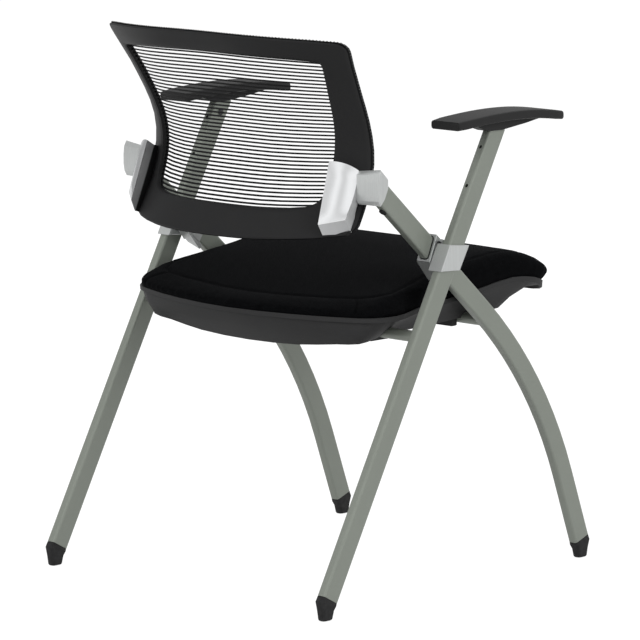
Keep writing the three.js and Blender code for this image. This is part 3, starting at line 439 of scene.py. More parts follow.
class Finish:
    """One material or the world: its nodes are made here."""

    def __init__(self, name, tree=None):
        if tree is None:
            self.material = bpy.data.materials.new(name)
            self.material.use_nodes = True
            tree = self.material.node_tree
        self.tree = tree
        self.tree.nodes.clear()

    def node(self, kind, settings=None, inputs=None):
        """Adds a node: its settings first, then the values or links of its sockets."""
        node = self.tree.nodes.new(kind)
        for key, value in (settings or {}).items():
            setattr(node, key, value)
        for key, value in (inputs or {}).items():
            if isinstance(value, Wire):
                self.tree.links.new(value.socket, node.inputs[key])
            else:
                node.inputs[key].default_value = value
        return node

    def out(self, node, name=0):
        return Wire(self, node.outputs[name])

    def math(self, operation, *values):
        return self.out(self.node("ShaderNodeMath", {"operation": operation}, dict(enumerate(values))))

    def split(self, vector):
        """The x, y and z of a vector."""
        node = self.node("ShaderNodeSeparateXYZ", {}, {0: vector})
        return [self.out(node, axis) for axis in "XYZ"]

    def attribute(self, name):
        return self.out(self.node("ShaderNodeAttribute", {"attribute_name": name}), "Fac")

    def rays(self):
        """1 on what the camera sees itself, and 1 on what a mirror or glass shows."""
        path = self.node("ShaderNodeLightPath")
        mirrored = self.out(path, "Is Glossy Ray").larger(self.out(path, "Is Transmission Ray"))
        return self.out(path, "Is Camera Ray"), mirrored

    def place(self, rotation=(0, 0, 0), scale=(1, 1, 1)):
        """Object coordinates, turned and stretched."""
        coordinates = self.node("ShaderNodeTexCoord")
        mapping = self.node(
            "ShaderNodeMapping",
            {"vector_type": "POINT"},
            {"Vector": self.out(coordinates, "Object"), "Rotation": rotation, "Scale": scale},
        )
        return self.out(mapping)

    def noise(self, size, detail=2.0, vector=None, roughness=0.5):
        """Noise from 0 to 1 with lumps of about that size in metres."""
        node = self.node(
            "ShaderNodeTexNoise",
            {},
            {"Vector": vector or self.place(), "Scale": 1 / size, "Detail": detail, "Roughness": roughness},
        )
        return self.out(node)

    def mix(self, share, first, second):
        """A colour between two colours. The node's colour sockets are inputs 6 and 7 and output 2."""
        first, second = (c if isinstance(c, Wire) else rgba(c) for c in (first, second))
        node = self.node("ShaderNodeMix", {"data_type": "RGBA"}, {0: share, 6: first, 7: second})
        return self.out(node, 2)

    def bump(self, height, depth, strength=1.0, under=None):
        inputs = {"Height": height, "Distance": depth, "Strength": strength}
        if under is not None:
            inputs["Normal"] = under
        return self.out(self.node("ShaderNodeBump", {}, inputs))

    def surface(self, constants, varying):
        """The shader: numbers that are the same all over, and what changes over the surface."""
        shader = self.node("ShaderNodeBsdfPrincipled", {}, {**constants, **varying})
        output = self.node("ShaderNodeOutputMaterial")
        self.tree.links.new(shader.outputs[0], output.inputs[0])
        return self.material


def shade(colour, factor):
    return tuple(min(1.0, c * factor) for c in colour)


def rgba(colour):
    return (*colour, 1.0)


def leg_paint(base):
    """Satin powder paint: a fine peel, a faint fleck of metal and slow changes of gloss."""
    f = Finish("leg_paint")
    fleck = f.noise(0.0006, 1.0).between(0.62, 0.8)
    cloud = f.noise(0.07, 3.0)
    tone = f.mix(cloud, shade(base, 0.94), shade(base, 1.06))
    colour = f.mix(fleck * 0.3, tone, shade(base, 1.5))
    peel = f.noise(0.0018, 2.0)
    rough = f.noise(0.02, 3.0) * 0.1 + 0.34
    return f.surface(
        {"Metallic": 0.25, "Specular IOR Level": 0.5},
        {"Base Color": colour, "Roughness": rough, "Normal": f.bump(peel, 0.00006)},
    )


def cast_aluminium(base):
    """Satin aluminium, brushed along the sleeves, with a fine cast pitting."""
    f = Finish("cast_aluminium")
    along = f.place((SLEEVE_TILT, 0, 0), (1.0, 1.0, 0.012))
    brush = f.noise(0.0012, 3.0, along, 0.7)
    cloud = f.noise(0.03, 2.0)
    tone = f.mix(cloud, shade(base, 0.95), shade(base, 1.05))
    streaks = f.mix(brush.between(0.35, 0.7), shade(base, 0.86), shade(base, 1.1))
    colour = f.mix(0.45, tone, streaks)
    rough = brush * 0.16 + 0.3
    pits = f.noise(0.0009, 2.0)
    relief = f.bump(brush, 0.00008)
    return f.surface(
        {"Metallic": 0.62, "Specular IOR Level": 0.5},
        {"Base Color": colour, "Roughness": rough, "Normal": f.bump(pits, 0.00005, 1.0, relief)},
    )


def bright_cover(base):
    """Polished cover: a hazy mirror, with a painted highlight on its rims, painted shade on its walls and a
    painted dark shadow at its root against the frame.
    """
    f = Finish("bright_cover")
    cloud = f.noise(0.025, 3.0)
    haze = f.noise(0.006, 3.0) * 0.05 + 0.13
    depth = f.attribute("root")
    # Painted light: the rims are painted brighter as a highlight, and the walls and the root darker as
    # shade.
    rim = depth.between(0.001, 0.006)
    wall = depth.between(0.02, 0.035)
    root = depth.between(0.5, 0.58)
    colour = f.mix(cloud, shade(base, 0.93), base)
    # Painted highlight on the rims, painted shade on the walls and a near-black painted shadow at the root.
    colour = f.mix(rim, colour, shade(base, 1.12))
    colour = f.mix(wall, colour, shade(base, 0.6))
    colour = f.mix(root, colour, shade(base, 0.012))
    return f.surface(
        {"Specular IOR Level": 0.2},
        {
            "Base Color": colour,
            "Metallic": 1 - wall * 0.55 - root * 0.45,
            "Roughness": haze + wall * 0.15 + root * 0.3,
            "Normal": f.bump(f.noise(0.004, 2.0), 0.00004),
        },
    )


def moulded(name, base, grain, gloss, depth, fleck):
    """Moulded plastic with a leathery grain, pale specks on its peaks and slow changes of tone."""
    f = Finish(name)
    fine = f.noise(grain, 3.0, None, 0.6)
    where = {"Vector": f.place(), "Scale": 0.6 / grain}
    cells = f.out(f.node("ShaderNodeTexVoronoi", {"feature": "F1"}, where))
    cloud = f.noise(0.09, 3.0)
    tone = f.mix(cloud, shade(base, 0.88), shade(base, 1.14))
    colour = f.mix(fine.between(0.52, 0.74) * fleck, tone, shade(base, 1.75))
    rough = fine * 0.18 + gloss
    height = fine * 0.6 + (1 - cells) * 0.4
    return f.surface(
        {"Specular IOR Level": 0.16},
        {"Base Color": colour, "Roughness": rough, "Normal": f.bump(height, depth)},
    )


def seat_fabric(base, weave):
    """Woven cover: crossing threads, a mottle of lighter fibres, and painted shade in the creases along the
    seams.
    """
    f = Finish("seat_fabric")
    turned = f.split(f.place((0, 0, math.radians(45))))
    x, y, z = ((axis * (math.pi / weave)).sine() for axis in turned)
    threads = (x * y + y * z + z * x) * 0.33 + 0.5
    fibres = f.noise(0.0022, 3.0, None, 0.7)
    mottle = f.noise(0.012, 4.0, None, 0.65)
    broad = f.noise(0.12, 2.0)
    tone = f.mix(mottle.between(0.3, 0.7), shade(base, 0.62), shade(base, 1.4))
    tone = f.mix(fibres.between(0.5, 0.78) * 0.75, tone, shade(base, 3.0))
    tone = f.mix(threads.between(0.3, 0.95) * 0.3, tone, shade(base, 2.0))
    tone = f.mix(broad.between(0.35, 0.65) * 0.25, tone, shade(base, 1.6))
    # Painted shade: the fabric is darker along the seams, where the creases lie in shadow.
    colour = f.mix(f.attribute("seam") * 0.75, tone, shade(base, 0.25))
    relief = f.bump(threads, 0.00025, 0.8)
    return f.surface(
        {
            "Specular IOR Level": 0.02,
            "Sheen Weight": 0.012,
            "Sheen Roughness": 0.45,
            "Sheen Tint": rgba((0.5, 0.52, 0.56)),
        },
        {
            "Base Color": colour,
            "Roughness": fibres * 0.12 + 0.8,
            "Normal": f.bump(fibres, 0.0004, 0.7, relief),
        },
    )


def twisted_thread(name, base):
    """Twisted thread with a dull shine."""
    f = Finish(name)
    twist = f.place((0, 0, 0), (1.0, 1.0, 2.2))
    strand = f.noise(0.0013, 2.0, twist)
    colour = f.mix(strand.between(0.3, 0.75), shade(base, 0.7), shade(base, 1.8))
    return f.surface(
        {"Specular IOR Level": 0.15},
        {"Base Color": colour, "Roughness": strand * 0.2 + 0.5, "Normal": f.bump(strand, 0.0001)},
    )


def rim_cloth(base, pitch):
    """The rim: dark, with a fine rib to each stitch where the net's edge is wrapped round it."""
    f = Finish("rim_cloth")
    height = f.split(f.place())[2]
    ribs = (height * (2 * math.pi / pitch)).wave()
    fuzz = f.noise(0.0012, 3.0)
    colour = f.mix(ribs * 0.35 + fuzz * 0.4, shade(base, 0.7), shade(base, 2.6))
    relief = f.bump(ribs, 0.0002, 0.6)
    return f.surface(
        {"Specular IOR Level": 0.15},
        {"Base Color": colour, "Roughness": fuzz * 0.2 + 0.5, "Normal": f.bump(fuzz, 0.0001, 1.0, relief)},
    )


def foot_rubber(base):
    """Dull black rubber with a dusty bloom."""
    f = Finish("foot_rubber")
    dust = f.noise(0.006, 4.0)
    fine = f.noise(0.0008, 2.0)
    colour = f.mix(dust.between(0.4, 0.75), base, shade(base, 1.7))
    return f.surface(
        {"Specular IOR Level": 0.2},
        {"Base Color": colour, "Roughness": fine * 0.15 + 0.55, "Normal": f.bump(fine, 0.00008)},
    )


def dark_steel():
    """Blackened screws, worn a little bright."""
    f = Finish("dark_steel")
    wear = f.noise(0.0015, 4.0, None, 0.7)
    colour = f.mix(wear.between(0.5, 0.72), (0.035, 0.036, 0.038), (0.14, 0.14, 0.145))
    return f.surface(
        {"Metallic": 0.85},
        {"Base Color": colour, "Roughness": wear * 0.25 + 0.25, "Normal": f.bump(wear, 0.00004)},
    )


def plywood():
    """Beech ply: thin layers one over the other, with a little figure."""
    f = Finish("plywood")
    height = f.split(f.place())[2]
    layers = (height * (2 * math.pi / PLY_PAIR)).wave()
    figure = f.noise(0.004, 4.0, f.place((0, 0, 0), (1.0, 0.08, 1.0)))
    pale = f.mix(figure, (0.46, 0.33, 0.2), (0.6, 0.46, 0.3))
    colour = f.mix(layers.between(0.6, 0.9) * 0.5, pale, (0.3, 0.19, 0.1))
    return f.surface(
        {"Specular IOR Level": 0.4},
        {"Base Color": colour, "Roughness": figure * 0.2 + 0.5, "Normal": f.bump(figure, 0.0001)},
    )


def finishes(context):
    """All the finishes by name, made once."""
    made = {m["chair_finish"]: m for m in bpy.data.materials if "chair_finish" in m}
    if made:
        return made
    colours = context.scene.chair_colours
    sizes = context.scene.chair_sizes
    grain = sizes.grain
    made = {
        "leg_paint": leg_paint(colours.leg_paint),
        "cast_aluminium": cast_aluminium(colours.cast_aluminium),
        "bright_cover": bright_cover(colours.bright_cover),
        "back_plastic": moulded("back_plastic", colours.back_plastic, grain, 0.4, 0.00012, 0.35),
        "pan_plastic": moulded("pan_plastic", colours.pan_plastic, grain * 1.2, 0.5, 0.0002, 0.45),
        "arm_plastic": moulded("arm_plastic", colours.arm_plastic, grain, 0.42, 0.00016, 0.4),
        "seat_fabric": seat_fabric(colours.seat_fabric, sizes.weave),
        "net_thread": twisted_thread("net_thread", colours.net_thread),
        "stitch_thread": twisted_thread("stitch_thread", colours.stitch_thread),
        "rim_cloth": rim_cloth(colours.rim_cloth, sizes.stitch_pitch),
        "foot_rubber": foot_rubber(colours.foot_rubber),
        "dark_steel": dark_steel(),
        "plywood": plywood(),
    }
    for name, material in made.items():
        material["chair_finish"] = name
    return made


def places(piece):
    """The vertices' positions, one to a row."""
    flat = np.zeros(len(piece.data.vertices) * 3)
    piece.data.vertices.foreach_get("co", flat)
    return flat.reshape(-1, 3)


def directions(piece):
    """The vertices' normals, one to a row."""
    flat = np.zeros(len(piece.data.vertices) * 3)
    piece.data.vertices.foreach_get("normal", flat)
    return flat.reshape(-1, 3)


def move_to(piece, points):
    piece.data.vertices.foreach_set("co", points.ravel())
    piece.data.update()


def mark_points(piece, name, values):
    """Gives the vertices a number that a finish reads."""
    mark = piece.data.attributes.new(name, "FLOAT", "POINT")
    mark.data.foreach_set("value", np.array(values, dtype=np.float32))


def alone(piece):
    """Makes a piece the only selected one and the active one."""
    if bpy.context.mode != "OBJECT":
        bpy.ops.object.mode_set(mode="OBJECT")
    bpy.ops.object.select_all(action="DESELECT")
    piece.select_set(True)
    bpy.context.view_layer.objects.active = piece


def named(name):
    """The active piece, under its name."""
    piece = bpy.context.view_layer.objects.active
    piece.name = name
    piece.data.name = name
    return piece


def modify(piece, kind, **settings):
    """Adds a modifier to a piece, sets it and applies it."""
    alone(piece)
    bpy.ops.object.modifier_add(type=kind)
    modifier = piece.modifiers[-1]
    for key, value in settings.items():
        setattr(modifier, key, value)
    bpy.ops.object.modifier_apply(modifier=modifier.name)


def merged_copy(node, name):
    """A copy of a CAD node with its triangles joined and without the normals that it came with."""
    alone(frame["nodes"][node])
    bpy.ops.object.duplicate()
    piece = named(name)
    bpy.ops.object.parent_clear(type="CLEAR_KEEP_TRANSFORM")
    for key in list(piece.keys()):
        del piece[key]
    bpy.ops.object.mode_set(mode="EDIT")
    bpy.ops.mesh.select_all(action="SELECT")
    bpy.ops.mesh.remove_doubles(threshold=NODE_MERGE)
    bpy.ops.mesh.customdata_custom_splitnormals_clear()
    bpy.ops.object.mode_set(mode="OBJECT")
    return piece


def whole_faces(piece):
    """Joins triangles that lie in one plane."""
    alone(piece)
    bpy.ops.object.mode_set(mode="EDIT")
    bpy.ops.mesh.select_all(action="SELECT")
    bpy.ops.mesh.dissolve_limited(angle_limit=math.radians(FLAT_ANGLE))
    bpy.ops.object.mode_set(mode="OBJECT")


def soften(piece, width, angle=35.0, segments=2):
    """Rounds the edges that are sharper than the angle."""
    limit = {"limit_method": "ANGLE", "angle_limit": math.radians(angle)}
    modify(piece, "BEVEL", width=width, segments=segments, **limit)


def smooth(piece, angle=35.0):
    """Smooths the edges below the angle, and keeps flat faces flat beside their rounded edges."""
    alone(piece)
    bpy.ops.object.shade_smooth_by_angle(angle=math.radians(angle))
    modify(piece, "WEIGHTED_NORMAL", keep_sharp=True, weight=80)


def give(piece, material):
    piece.data.materials.clear()
    piece.data.materials.append(material)


def settle(piece, body, slot, material, *nodes):
    """Gives a piece its finish and its body, and hides the CAD nodes that it stands for."""
    give(piece, material)
    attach(piece, body)
    if nodes:
        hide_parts(*nodes)


def body_of_node(node):
    bodies = frame["record"]["behaviour"]["bodies"]
    return next(body for body, nodes in bodies.items() if node in nodes)


def dress(node, name, slot, material, edge=None, edge_angle=35.0, smooth_angle=35.0):
    """A finished piece in a CAD node's own shape, with softened edges."""
    piece = merged_copy(node, name)
    whole_faces(piece)
    if edge:
        soften(piece, edge, edge_angle)
    smooth(piece, smooth_angle)
    settle(piece, body_of_node(node), slot, material, node)
    return piece


def keep(node, material):
    """A CAD node that stays and gets its finish."""
    give(frame["nodes"][node], material)


class CHAIR_OT_legs(bpy.types.Operator):
    """Painted legs and cross bars"""

    bl_idname = "chair.legs"
    bl_label = "Legs and bars"

    def execute(self, context):
        paint = finishes(context)["leg_paint"]
        for side in SIDES:
            for end in ("rear", "front"):
                dress(f"{end}_leg_{side}", f"painted_{end}_leg_{side}", "leg_paint", paint)
        for end in ("rear", "front"):
            dress(f"{end}_crossbar", f"painted_{end}_bar", "leg_paint", paint)
        return {"FINISHED"}


class CHAIR_OT_feet(bpy.types.Operator):
    """Rubber feet and the plugs in the legs' ends"""

    bl_idname = "chair.feet"
    bl_label = "Feet and plugs"

    def execute(self, context):
        made = finishes(context)
        rubber = made["foot_rubber"]
        for side in SIDES:
            for end in ("rear", "front"):
                foot = f"{end}_foot_{side}"
                dress(foot, f"rubber_{foot}", "foot_rubber", rubber, edge=0.0008)
            plug = f"leg_plug_{side}"
            dress(plug, f"rubber_{plug}", "foot_rubber", rubber, edge=0.0004)
        return {"FINISHED"}


class CHAIR_OT_castings(bpy.types.Operator):
    """Cast joints between the legs, with their liners and screws"""

    bl_idname = "chair.castings"
    bl_label = "Joint castings"

    def execute(self, context):
        made = finishes(context)
        cast = made["cast_aluminium"]
        edge = context.scene.chair_sizes.casting_edge
        for side in SIDES:
            dress(f"joint_casting_{side}", f"cast_joint_{side}", "cast_aluminium", cast, edge)
            keep(f"joint_liner_{side}", made["foot_rubber"])
            dress(f"joint_screw_{side}", f"joint_bolt_{side}", "dark_steel", made["dark_steel"])
        return {"FINISHED"}


def bowed(start, middle, end, share):
    """A point on the smooth curve through three points."""
    before = 2 * (share - 0.5) * (share - 1)
    between = -4 * share * (share - 1)
    after = 2 * share * (share - 0.5)
    return before * start + between * middle + after * end


def cover_point(corners, across, down):
    """A point of the surface between a cover's corners, from its inner to its outer edge and down."""
    c = [np.array(corner) * MM for corner in corners]
    top = bowed(c[0], c[1], c[2], across)
    outer = bowed(c[2], c[3], c[4], down)
    bottom = c[5] + (c[4] - c[5]) * across
    inner = c[0] + (c[5] - c[0]) * down
    flat = (
        (1 - across) * (1 - down) * c[0]
        + across * (1 - down) * c[2]
        + across * down * c[4]
        + (1 - across) * down * c[5]
    )
    return (1 - down) * top + down * bottom + (1 - across) * inner + across * outer - flat


def model_cover(side, crown):
    """A cover: a crowned bright face, chamfers down to its foot, and a wall into the frame's surface.

    The number root is 0 on the face, 0.5 at the foot and 1 inside the frame; by it the finish paints a
    highlight on the rims and shade on the walls and the root.
    """
    cells = COVER_CELLS + 2 * COVER_SKIRT
    bpy.ops.object.select_all(action="DESELECT")
    bpy.ops.mesh.primitive_grid_add(x_subdivisions=cells, y_subdivisions=cells, size=cells)
    piece = named(f"polished_cover_{side}")
    back = frame["nodes"]["back_frame"]
    mirror = 1 if side == "left" else -1
    moved = []
    root = []
    for x, y, _ in places(piece):
        i, j = round(x + cells / 2), round(cells / 2 - y)
        ring = min(i, j, cells - i, cells - j)
        root.append(max(0.0, 1 - 0.5 * ring))
        across = min(max((i - COVER_SKIRT) / COVER_CELLS, 0), 1)
        down = min(max((j - COVER_SKIRT) / COVER_CELLS, 0), 1)
        point = cover_point(COVER_FACE if ring >= COVER_SKIRT else COVER_FOOT, across, down)
        if ring >= COVER_SKIRT:
            height = min(1.0, COVER_RAMP * down, COVER_RAMP * (1 - down))
            bulge = crown * math.sin(math.pi * across) * height
            point = point + bulge * np.array(COVER_OUT)
        if ring == 0:
            start = (min(point[0], COVER_REACH), COVER_BEHIND, point[2])
            hit, place, _, _ = back.ray_cast(start, (0, -1, 0))
            if not hit:
                raise RuntimeError(f"{piece.name}: its foot lies outside the back's frame")
            point[1] = place.y - COVER_INTO
            point[2] -= COVER_SINK
        moved.append((mirror * point[0], point[1], point[2]))
    move_to(piece, np.array(moved))
    mark_points(piece, "root", root)
    bpy.ops.object.mode_set(mode="EDIT")
    bpy.ops.mesh.select_all(action="SELECT")
    bpy.ops.mesh.remove_doubles(threshold=COVER_MERGE)
    bpy.ops.mesh.select_all(action="DESELECT")
    bpy.ops.mesh.select_mode(type="EDGE")
    bpy.ops.mesh.select_non_manifold(extend=False)
    bpy.ops.mesh.edge_face_add()
    bpy.ops.mesh.select_all(action="SELECT")
    bpy.ops.mesh.normals_make_consistent(inside=False)
    bpy.ops.object.mode_set(mode="OBJECT")
    return piece


class CHAIR_OT_brackets(bpy.types.Operator):
    """Cast brackets of the back and their polished covers"""

    bl_idname = "chair.brackets"
    bl_label = "Back brackets"

    def execute(self, context):
        made = finishes(context)
        sizes = context.scene.chair_sizes
        cast = made["cast_aluminium"]
        edge = sizes.casting_edge
        for side in SIDES:
            dress(f"back_bracket_{side}", f"cast_bracket_{side}", "cast_aluminium", cast, edge)
            cover = model_cover(side, sizes.cover_crown)
            soften(cover, edge, angle=22.0, segments=3)
            smooth(cover, angle=30.0)
            settle(cover, "frame", "bright_cover", made["bright_cover"], f"bracket_cover_{side}")
        return {"FINISHED"}


class CHAIR_OT_armrests(bpy.types.Operator):
    """Moulded armrest pads with their inserts and screws"""

    bl_idname = "chair.armrests"
    bl_label = "Armrests"

    def execute(self, context):
        made = finishes(context)
        edge = context.scene.chair_sizes.plastic_edge
        for side in SIDES:
            dress(f"armrest_{side}", f"moulded_armrest_{side}", "arm_plastic", made["arm_plastic"], edge)
            keep(f"armrest_insert_{side}", made["foot_rubber"])
            keep(f"armrest_screw_{side}", made["dark_steel"])
        return {"FINISHED"}


def rim_edge(piece):
    """Points round the middle of the rim's outer wall, up one side, over the top and down the other."""
    points = places(piece)
    found = []
    for x, y, z in points:
        near = np.hypot(points[:, 0] - x, points[:, 2] - z) < SAME_PLACE
        outside = abs(x) > RIM_EDGE_X or z > RIM_EDGE_Z
        wall = np.any(near & (np.abs(points[:, 1] - y - RIM_WALL) < SAME_DEPTH))
        if outside and wall and z > STITCH_LOWEST:
            found.append((x, y + RIM_WALL / 2, z))
    middle_z = 0.5 * (max(p[2] for p in found) + STITCH_LOWEST) - RIM_CENTRE_DROP
    return sorted(found, key=lambda p: math.atan2(p[0], p[2] - middle_z))


def stitch_row(edge, pitch, thick):
    """Stitches in a row along the edge: one is modelled, repeated and bent along the line."""
    curve = bpy.data.curves.new("edge_line", "CURVE")
    curve.dimensions = "3D"
    line = curve.splines.new("POLY")
    line.points.add(len(edge) - 1)
    for point, place in zip(line.points, edge):
        point.co = (*place, 1.0)
    guide = bpy.data.objects.new("edge_line", curve)
    bpy.context.scene.collection.objects.link(guide)
    length = sum((Vector(b) - Vector(a)).length for a, b in zip(edge, edge[1:]))
    bpy.ops.object.select_all(action="DESELECT")
    bpy.ops.mesh.primitive_uv_sphere_add(segments=8, ring_count=6, radius=0.5)
    piece = named("edge_stitching")
    bpy.ops.transform.resize(value=(STITCH_LENGTH * pitch, STITCH_WIDTH * thick, thick))
    bpy.ops.object.transform_apply(location=True, rotation=True, scale=True)
    step = {
        "use_relative_offset": False,
        "use_constant_offset": True,
        "constant_offset_displace": (pitch, 0, 0),
    }
    modify(piece, "ARRAY", count=int(length / pitch), **step)
    modify(piece, "CURVE", object=guide, deform_axis="POS_X")
    bpy.data.objects.remove(guide)
    return piece


class CHAIR_OT_backrest(bpy.types.Operator):
    """Moulded frame of the back and the rim that holds the net"""

    bl_idname = "chair.backrest"
    bl_label = "Back frame and rim"

    def execute(self, context):
        made = finishes(context)
        sizes = context.scene.chair_sizes
        dress("back_frame", "moulded_back_frame", "back_plastic", made["back_plastic"])
        rim = dress("mesh_rim", "wrapped_rim", "back_plastic", made["rim_cloth"])
        stitches = stitch_row(rim_edge(rim), sizes.stitch_pitch, sizes.stitch_thick)
        bpy.ops.object.shade_smooth()
        settle(stitches, "frame", "mesh_fabric", made["stitch_thread"])
        return {"FINISHED"}


class CHAIR_OT_net(bpy.types.Operator):
    """Net stretched across the back"""

    bl_idname = "chair.net"
    bl_label = "Back net"

    def execute(self, context):
        thread = finishes(context)["net_thread"]
        rounding = {"edge": 0.0003, "edge_angle": 60.0, "smooth_angle": 80.0}
        dress("back_mesh", "stretched_net", "mesh_fabric", thread, **rounding)
        return {"FINISHED"}


class CHAIR_OT_seat_shell(bpy.types.Operator):
    """Moulded pan under the seat, with its hinge caps, saddles and board"""

    bl_idname = "chair.seat_shell"
    bl_label = "Seat pan"

    def execute(self, context):
        made = finishes(context)
        plastic = made["pan_plastic"]
        edge = context.scene.chair_sizes.plastic_edge
        dress("seat_pan", "moulded_pan", "pan_plastic", plastic)
        for side in SIDES:
            dress(f"hinge_cap_{side}", f"moulded_hinge_cap_{side}", "pan_plastic", plastic, edge)
            dress(f"seat_saddle_{side}", f"moulded_saddle_{side}", "pan_plastic", plastic, edge)
        keep("seat_board", made["plywood"])
        return {"FINISHED"}


def seam_lines():
    """The cushion's sewn lines in plan, in metres: the closed top seam and the two corner seams."""
    half = [(x * MM, y * MM) for x, y in TOP_SEAM]
    ring = half + [(-x, y) for x, y in half[-2::-1]]
    corner = [(x * MM, y * MM) for x, y in CORNER_SEAM]
    return [np.array(ring), np.array(corner), np.array([(-x, y) for x, y in corner])]


def seam_distance(points):
    """Distance in plan from each point to the nearest sewn line."""
    nearest = np.full(len(points), 1.0)
    for line in seam_lines():
        for start, end in zip(line[:-1], line[1:]):
            way = end - start
            share = np.clip(((points - start) @ way) / (way @ way), 0, 1)
            gap = np.linalg.norm(points - (start + share[:, None] * way), axis=1)
            nearest = np.minimum(nearest, gap)
    return nearest


def rising(values, low, width):
    """0 up to low, 1 from a width above it, and straight between them."""
    return np.clip((values - low) / width, 0, 1)


def swell(piece, shrink, puff):
    """Blows the cushion's cover up as cloth from a slightly smaller shape, held at its seams and edge."""
    full = places(piece)
    facing = directions(piece)
    top = rising(facing[:, 2], 0.2, 0.5)
    before = full - facing * (shrink * top)[:, None]
    move_to(piece, before)
    near = seam_distance(before[:, :2]) < HELD_SEAM * CUSHION_VOXEL
    held = near & (facing[:, 2] > HELD_SEAM_UP)
    held |= facing[:, 2] < HELD_NOT_UP
    group = piece.vertex_groups.new(name="sewn")
    group.add([int(k) for k in np.flatnonzero(held)], 1.0, "REPLACE")
    alone(piece)
    bpy.ops.object.modifier_add(type="CLOTH")
    cloth = piece.modifiers[-1]
    cloth.settings.quality = 5
    cloth.settings.mass = 0.3
    cloth.settings.use_pressure = True
    cloth.settings.uniform_pressure_force = 4.0
    cloth.settings.vertex_group_mass = "sewn"
    cloth.settings.effector_weights.gravity = 0.0
    cloth.point_cache.frame_start = 1
    cloth.point_cache.frame_end = PUFF_FRAMES
    for step in range(1, PUFF_FRAMES + 1):
        bpy.context.scene.frame_set(step)
    bpy.ops.object.modifier_apply(modifier=cloth.name)
    bpy.context.scene.frame_set(1)
    moved = places(piece) - before
    far = np.linalg.norm(moved, axis=1)
    capped = np.minimum(1.0, (shrink * top + puff) / np.maximum(far, 1e-9))
    move_to(piece, before + moved * capped[:, None])
    piece.vertex_groups.clear()


def sew(piece, depth, width):
    """Draws the cover in along the seams and marks them for the painted shade in the fabric's colour."""
    points = places(piece)
    facing = directions(piece)
    top = rising(facing[:, 2], -0.1, 0.3)
    gap = seam_distance(points[:, :2])
    valley = np.exp(-((gap / width) ** 2)) * top
    move_to(piece, points - facing * (depth * valley)[:, None])
    # The mark paints shade into the fabric along the seams' creases.
    mark_points(piece, "seam", np.exp(-((gap / (0.45 * width)) ** 2)) * top)


class CHAIR_OT_cushion(bpy.types.Operator):
    """Upholstered seat cushion with its sewn seams"""

    bl_idname = "chair.cushion"
    bl_label = "Seat cushion"

    def execute(self, context):
        sizes = context.scene.chair_sizes
        solid = frame["nodes"]["seat_cushion"]
        piece = merged_copy("seat_cushion", "sewn_cushion")
        modify(piece, "REMESH", mode="VOXEL", voxel_size=CUSHION_VOXEL)
        modify(piece, "SHRINKWRAP", target=solid, wrap_method="NEAREST_SURFACEPOINT")
        under = directions(piece)[:, 2] < CUSHION_UNDER
        move_to(piece, places(piece) - np.outer(under, (0, 0, CUSHION_SETTLE)))
        swell(piece, CUSHION_SHRINK, sizes.puff)
        modify(piece, "SUBSURF", levels=1, render_levels=1)
        sew(piece, sizes.seam_depth, sizes.seam_width)
        bpy.ops.object.shade_smooth()
        settle(piece, "seat", "seat_fabric", finishes(context)["seat_fabric"], "seat_cushion")
        return {"FINISHED"}


def area_light(name, power, place, width, height):
    """A soft light that faces the chair's middle and isn't mirrored."""
    turn = (Vector(place) - Vector(LIGHT_AIM)).to_track_quat("Z", "Y").to_euler()
    bpy.ops.object.light_add(type="AREA", location=place, rotation=turn)
    lamp = bpy.context.view_layer.objects.active
    lamp.name = name
    lamp.data.shape = "RECTANGLE"
    lamp.data.size = width
    lamp.data.size_y = height
    lamp.data.energy = power
    lamp.visible_glossy = False


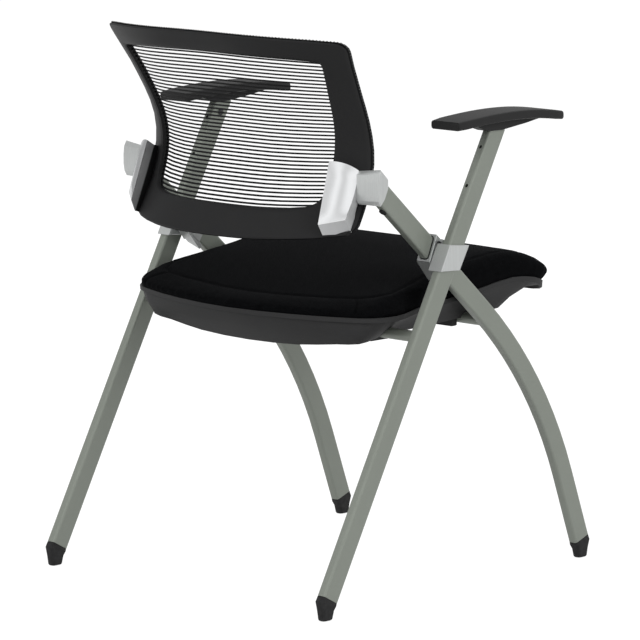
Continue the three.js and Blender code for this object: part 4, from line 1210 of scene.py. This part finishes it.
class CHAIR_OT_stage(bpy.types.Operator):
    """Pale floor, white surround, soft lights and the photograph's camera"""

    bl_idname = "chair.stage"
    bl_label = "Stage"

    def execute(self, context):
        scene = context.scene
        studio = scene.chair_studio
        bpy.ops.object.select_all(action="DESELECT")
        self.make_floor(studio)
        self.make_world(scene, studio)
        for name, power, place, width, height in LIGHTS:
            area_light(name, getattr(studio, power), place, width, height)
        self.make_camera(scene)
        return {"FINISHED"}

    def make_floor(self, studio):
        """A floor that the camera and the mirrors see glowing white, with the chair's shadow on it."""
        bpy.ops.mesh.primitive_plane_add(size=2 * studio.floor_half, location=(0, 0, -FLOOR_DROP))
        floor = named("floor")
        bpy.ops.object.transform_apply(location=True, rotation=True, scale=True)
        f = Finish("floor_white")
        seen, mirrored = f.rays()
        strength = seen * 0.9 + mirrored * 0.6
        glow = f.node("ShaderNodeEmission", {}, {"Color": rgba((1, 1, 1)), "Strength": strength})
        paper = f.node("ShaderNodeBsdfDiffuse", {}, {"Color": rgba((0.45, 0.45, 0.45))})
        dim = f.node("ShaderNodeBsdfDiffuse", {}, {"Color": rgba((0.2, 0.2, 0.2))})
        lit = f.node("ShaderNodeMixShader", {}, {0: seen.larger(mirrored)})
        both = f.node("ShaderNodeAddShader")
        output = f.node("ShaderNodeOutputMaterial")
        link = f.tree.links.new
        link(paper.outputs[0], lit.inputs[1])
        link(dim.outputs[0], lit.inputs[2])
        link(lit.outputs[0], both.inputs[0])
        link(glow.outputs[0], both.inputs[1])
        link(both.outputs[0], output.inputs[0])
        give(floor, f.material)

    def make_world(self, scene, studio):
        """White to the camera, soft strips to the mirrors, dimmer on the far side, and even to the rest."""
        world = bpy.data.worlds.new("studio")
        world.use_nodes = True
        scene.world = world
        f = Finish("studio", world.node_tree)
        seen, mirrored = f.rays()
        x, y, _ = f.split(f.out(f.node("ShaderNodeTexCoord"), "Generated"))
        strips = ((x * STRIP_X + y * STRIP_Y) * STRIP_WAVES - STRIP_SHIFT).wave()
        bands = (strips * 0.3 + 0.72) * (1 - x.between(0.35, 0.95) * 0.5)
        unseen = mirrored * bands + (1 - mirrored) * studio.surround
        strength = seen + (1 - seen) * unseen
        light = f.node("ShaderNodeBackground", {}, {"Color": rgba((1, 1, 1)), "Strength": strength})
        output = f.node("ShaderNodeOutputWorld")
        f.tree.links.new(light.outputs[0], output.inputs[0])

    def make_camera(self, scene):
        """The photograph's camera."""
        a, e = CAMERA_AZIMUTH, CAMERA_ELEVATION
        back = Vector((math.sin(a) * math.cos(e), -math.cos(a) * math.cos(e), math.sin(e)))
        turn = (-back).to_track_quat("-Z", "Y").to_euler()
        bpy.ops.object.camera_add(location=CAMERA_PLACE, rotation=turn)
        camera = bpy.context.view_layer.objects.active
        camera.name = "photo_camera"
        camera.data.sensor_width = 36.0
        camera.data.lens = CAMERA_LENS
        camera.data.clip_end = 200.0
        camera.data.dof.use_dof = False
        scene.camera = camera


PIECE_OPERATORS = (
    CHAIR_OT_legs,
    CHAIR_OT_feet,
    CHAIR_OT_castings,
    CHAIR_OT_brackets,
    CHAIR_OT_armrests,
    CHAIR_OT_backrest,
    CHAIR_OT_net,
    CHAIR_OT_seat_shell,
    CHAIR_OT_cushion,
    CHAIR_OT_stage,
)


class CHAIR_PT_sidebar(bpy.types.Panel):
    """Lists the chair's pieces, sizes and colours"""

    bl_label = "Nesting chair"
    bl_idname = "CHAIR_PT_sidebar"
    bl_space_type = "VIEW_3D"
    bl_region_type = "UI"
    bl_category = "Chair"

    def draw(self, context):
        for operator in PIECE_OPERATORS:
            self.layout.operator(operator.bl_idname)
        for group in (context.scene.chair_sizes, context.scene.chair_colours, context.scene.chair_studio):
            box = self.layout.box()
            for name in group.bl_rna.properties.keys():
                if name not in ("rna_type", "name"):
                    box.prop(group, name)


GROUPS = {"chair_sizes": ChairSizes, "chair_colours": ChairColours, "chair_studio": ChairStudio}


def register():
    for group in GROUPS.values():
        bpy.utils.register_class(group)
    for operator in PIECE_OPERATORS:
        bpy.utils.register_class(operator)
    bpy.utils.register_class(CHAIR_PT_sidebar)
    for name, group in GROUPS.items():
        setattr(bpy.types.Scene, name, PointerProperty(type=group))


def unregister():
    for name in GROUPS:
        delattr(bpy.types.Scene, name)
    bpy.utils.unregister_class(CHAIR_PT_sidebar)
    for operator in reversed(PIECE_OPERATORS):
        bpy.utils.unregister_class(operator)
    for group in GROUPS.values():
        bpy.utils.unregister_class(group)


def main():
    register()
    bpy.ops.chair.legs()
    bpy.ops.chair.feet()
    bpy.ops.chair.castings()
    bpy.ops.chair.brackets()
    bpy.ops.chair.armrests()
    bpy.ops.chair.backrest()
    bpy.ops.chair.net()
    bpy.ops.chair.seat_shell()
    bpy.ops.chair.cushion()
    bpy.ops.chair.stage()
    bpy.context.scene.view_settings.view_transform = "Standard"


if __name__ == "__main__":
    main()
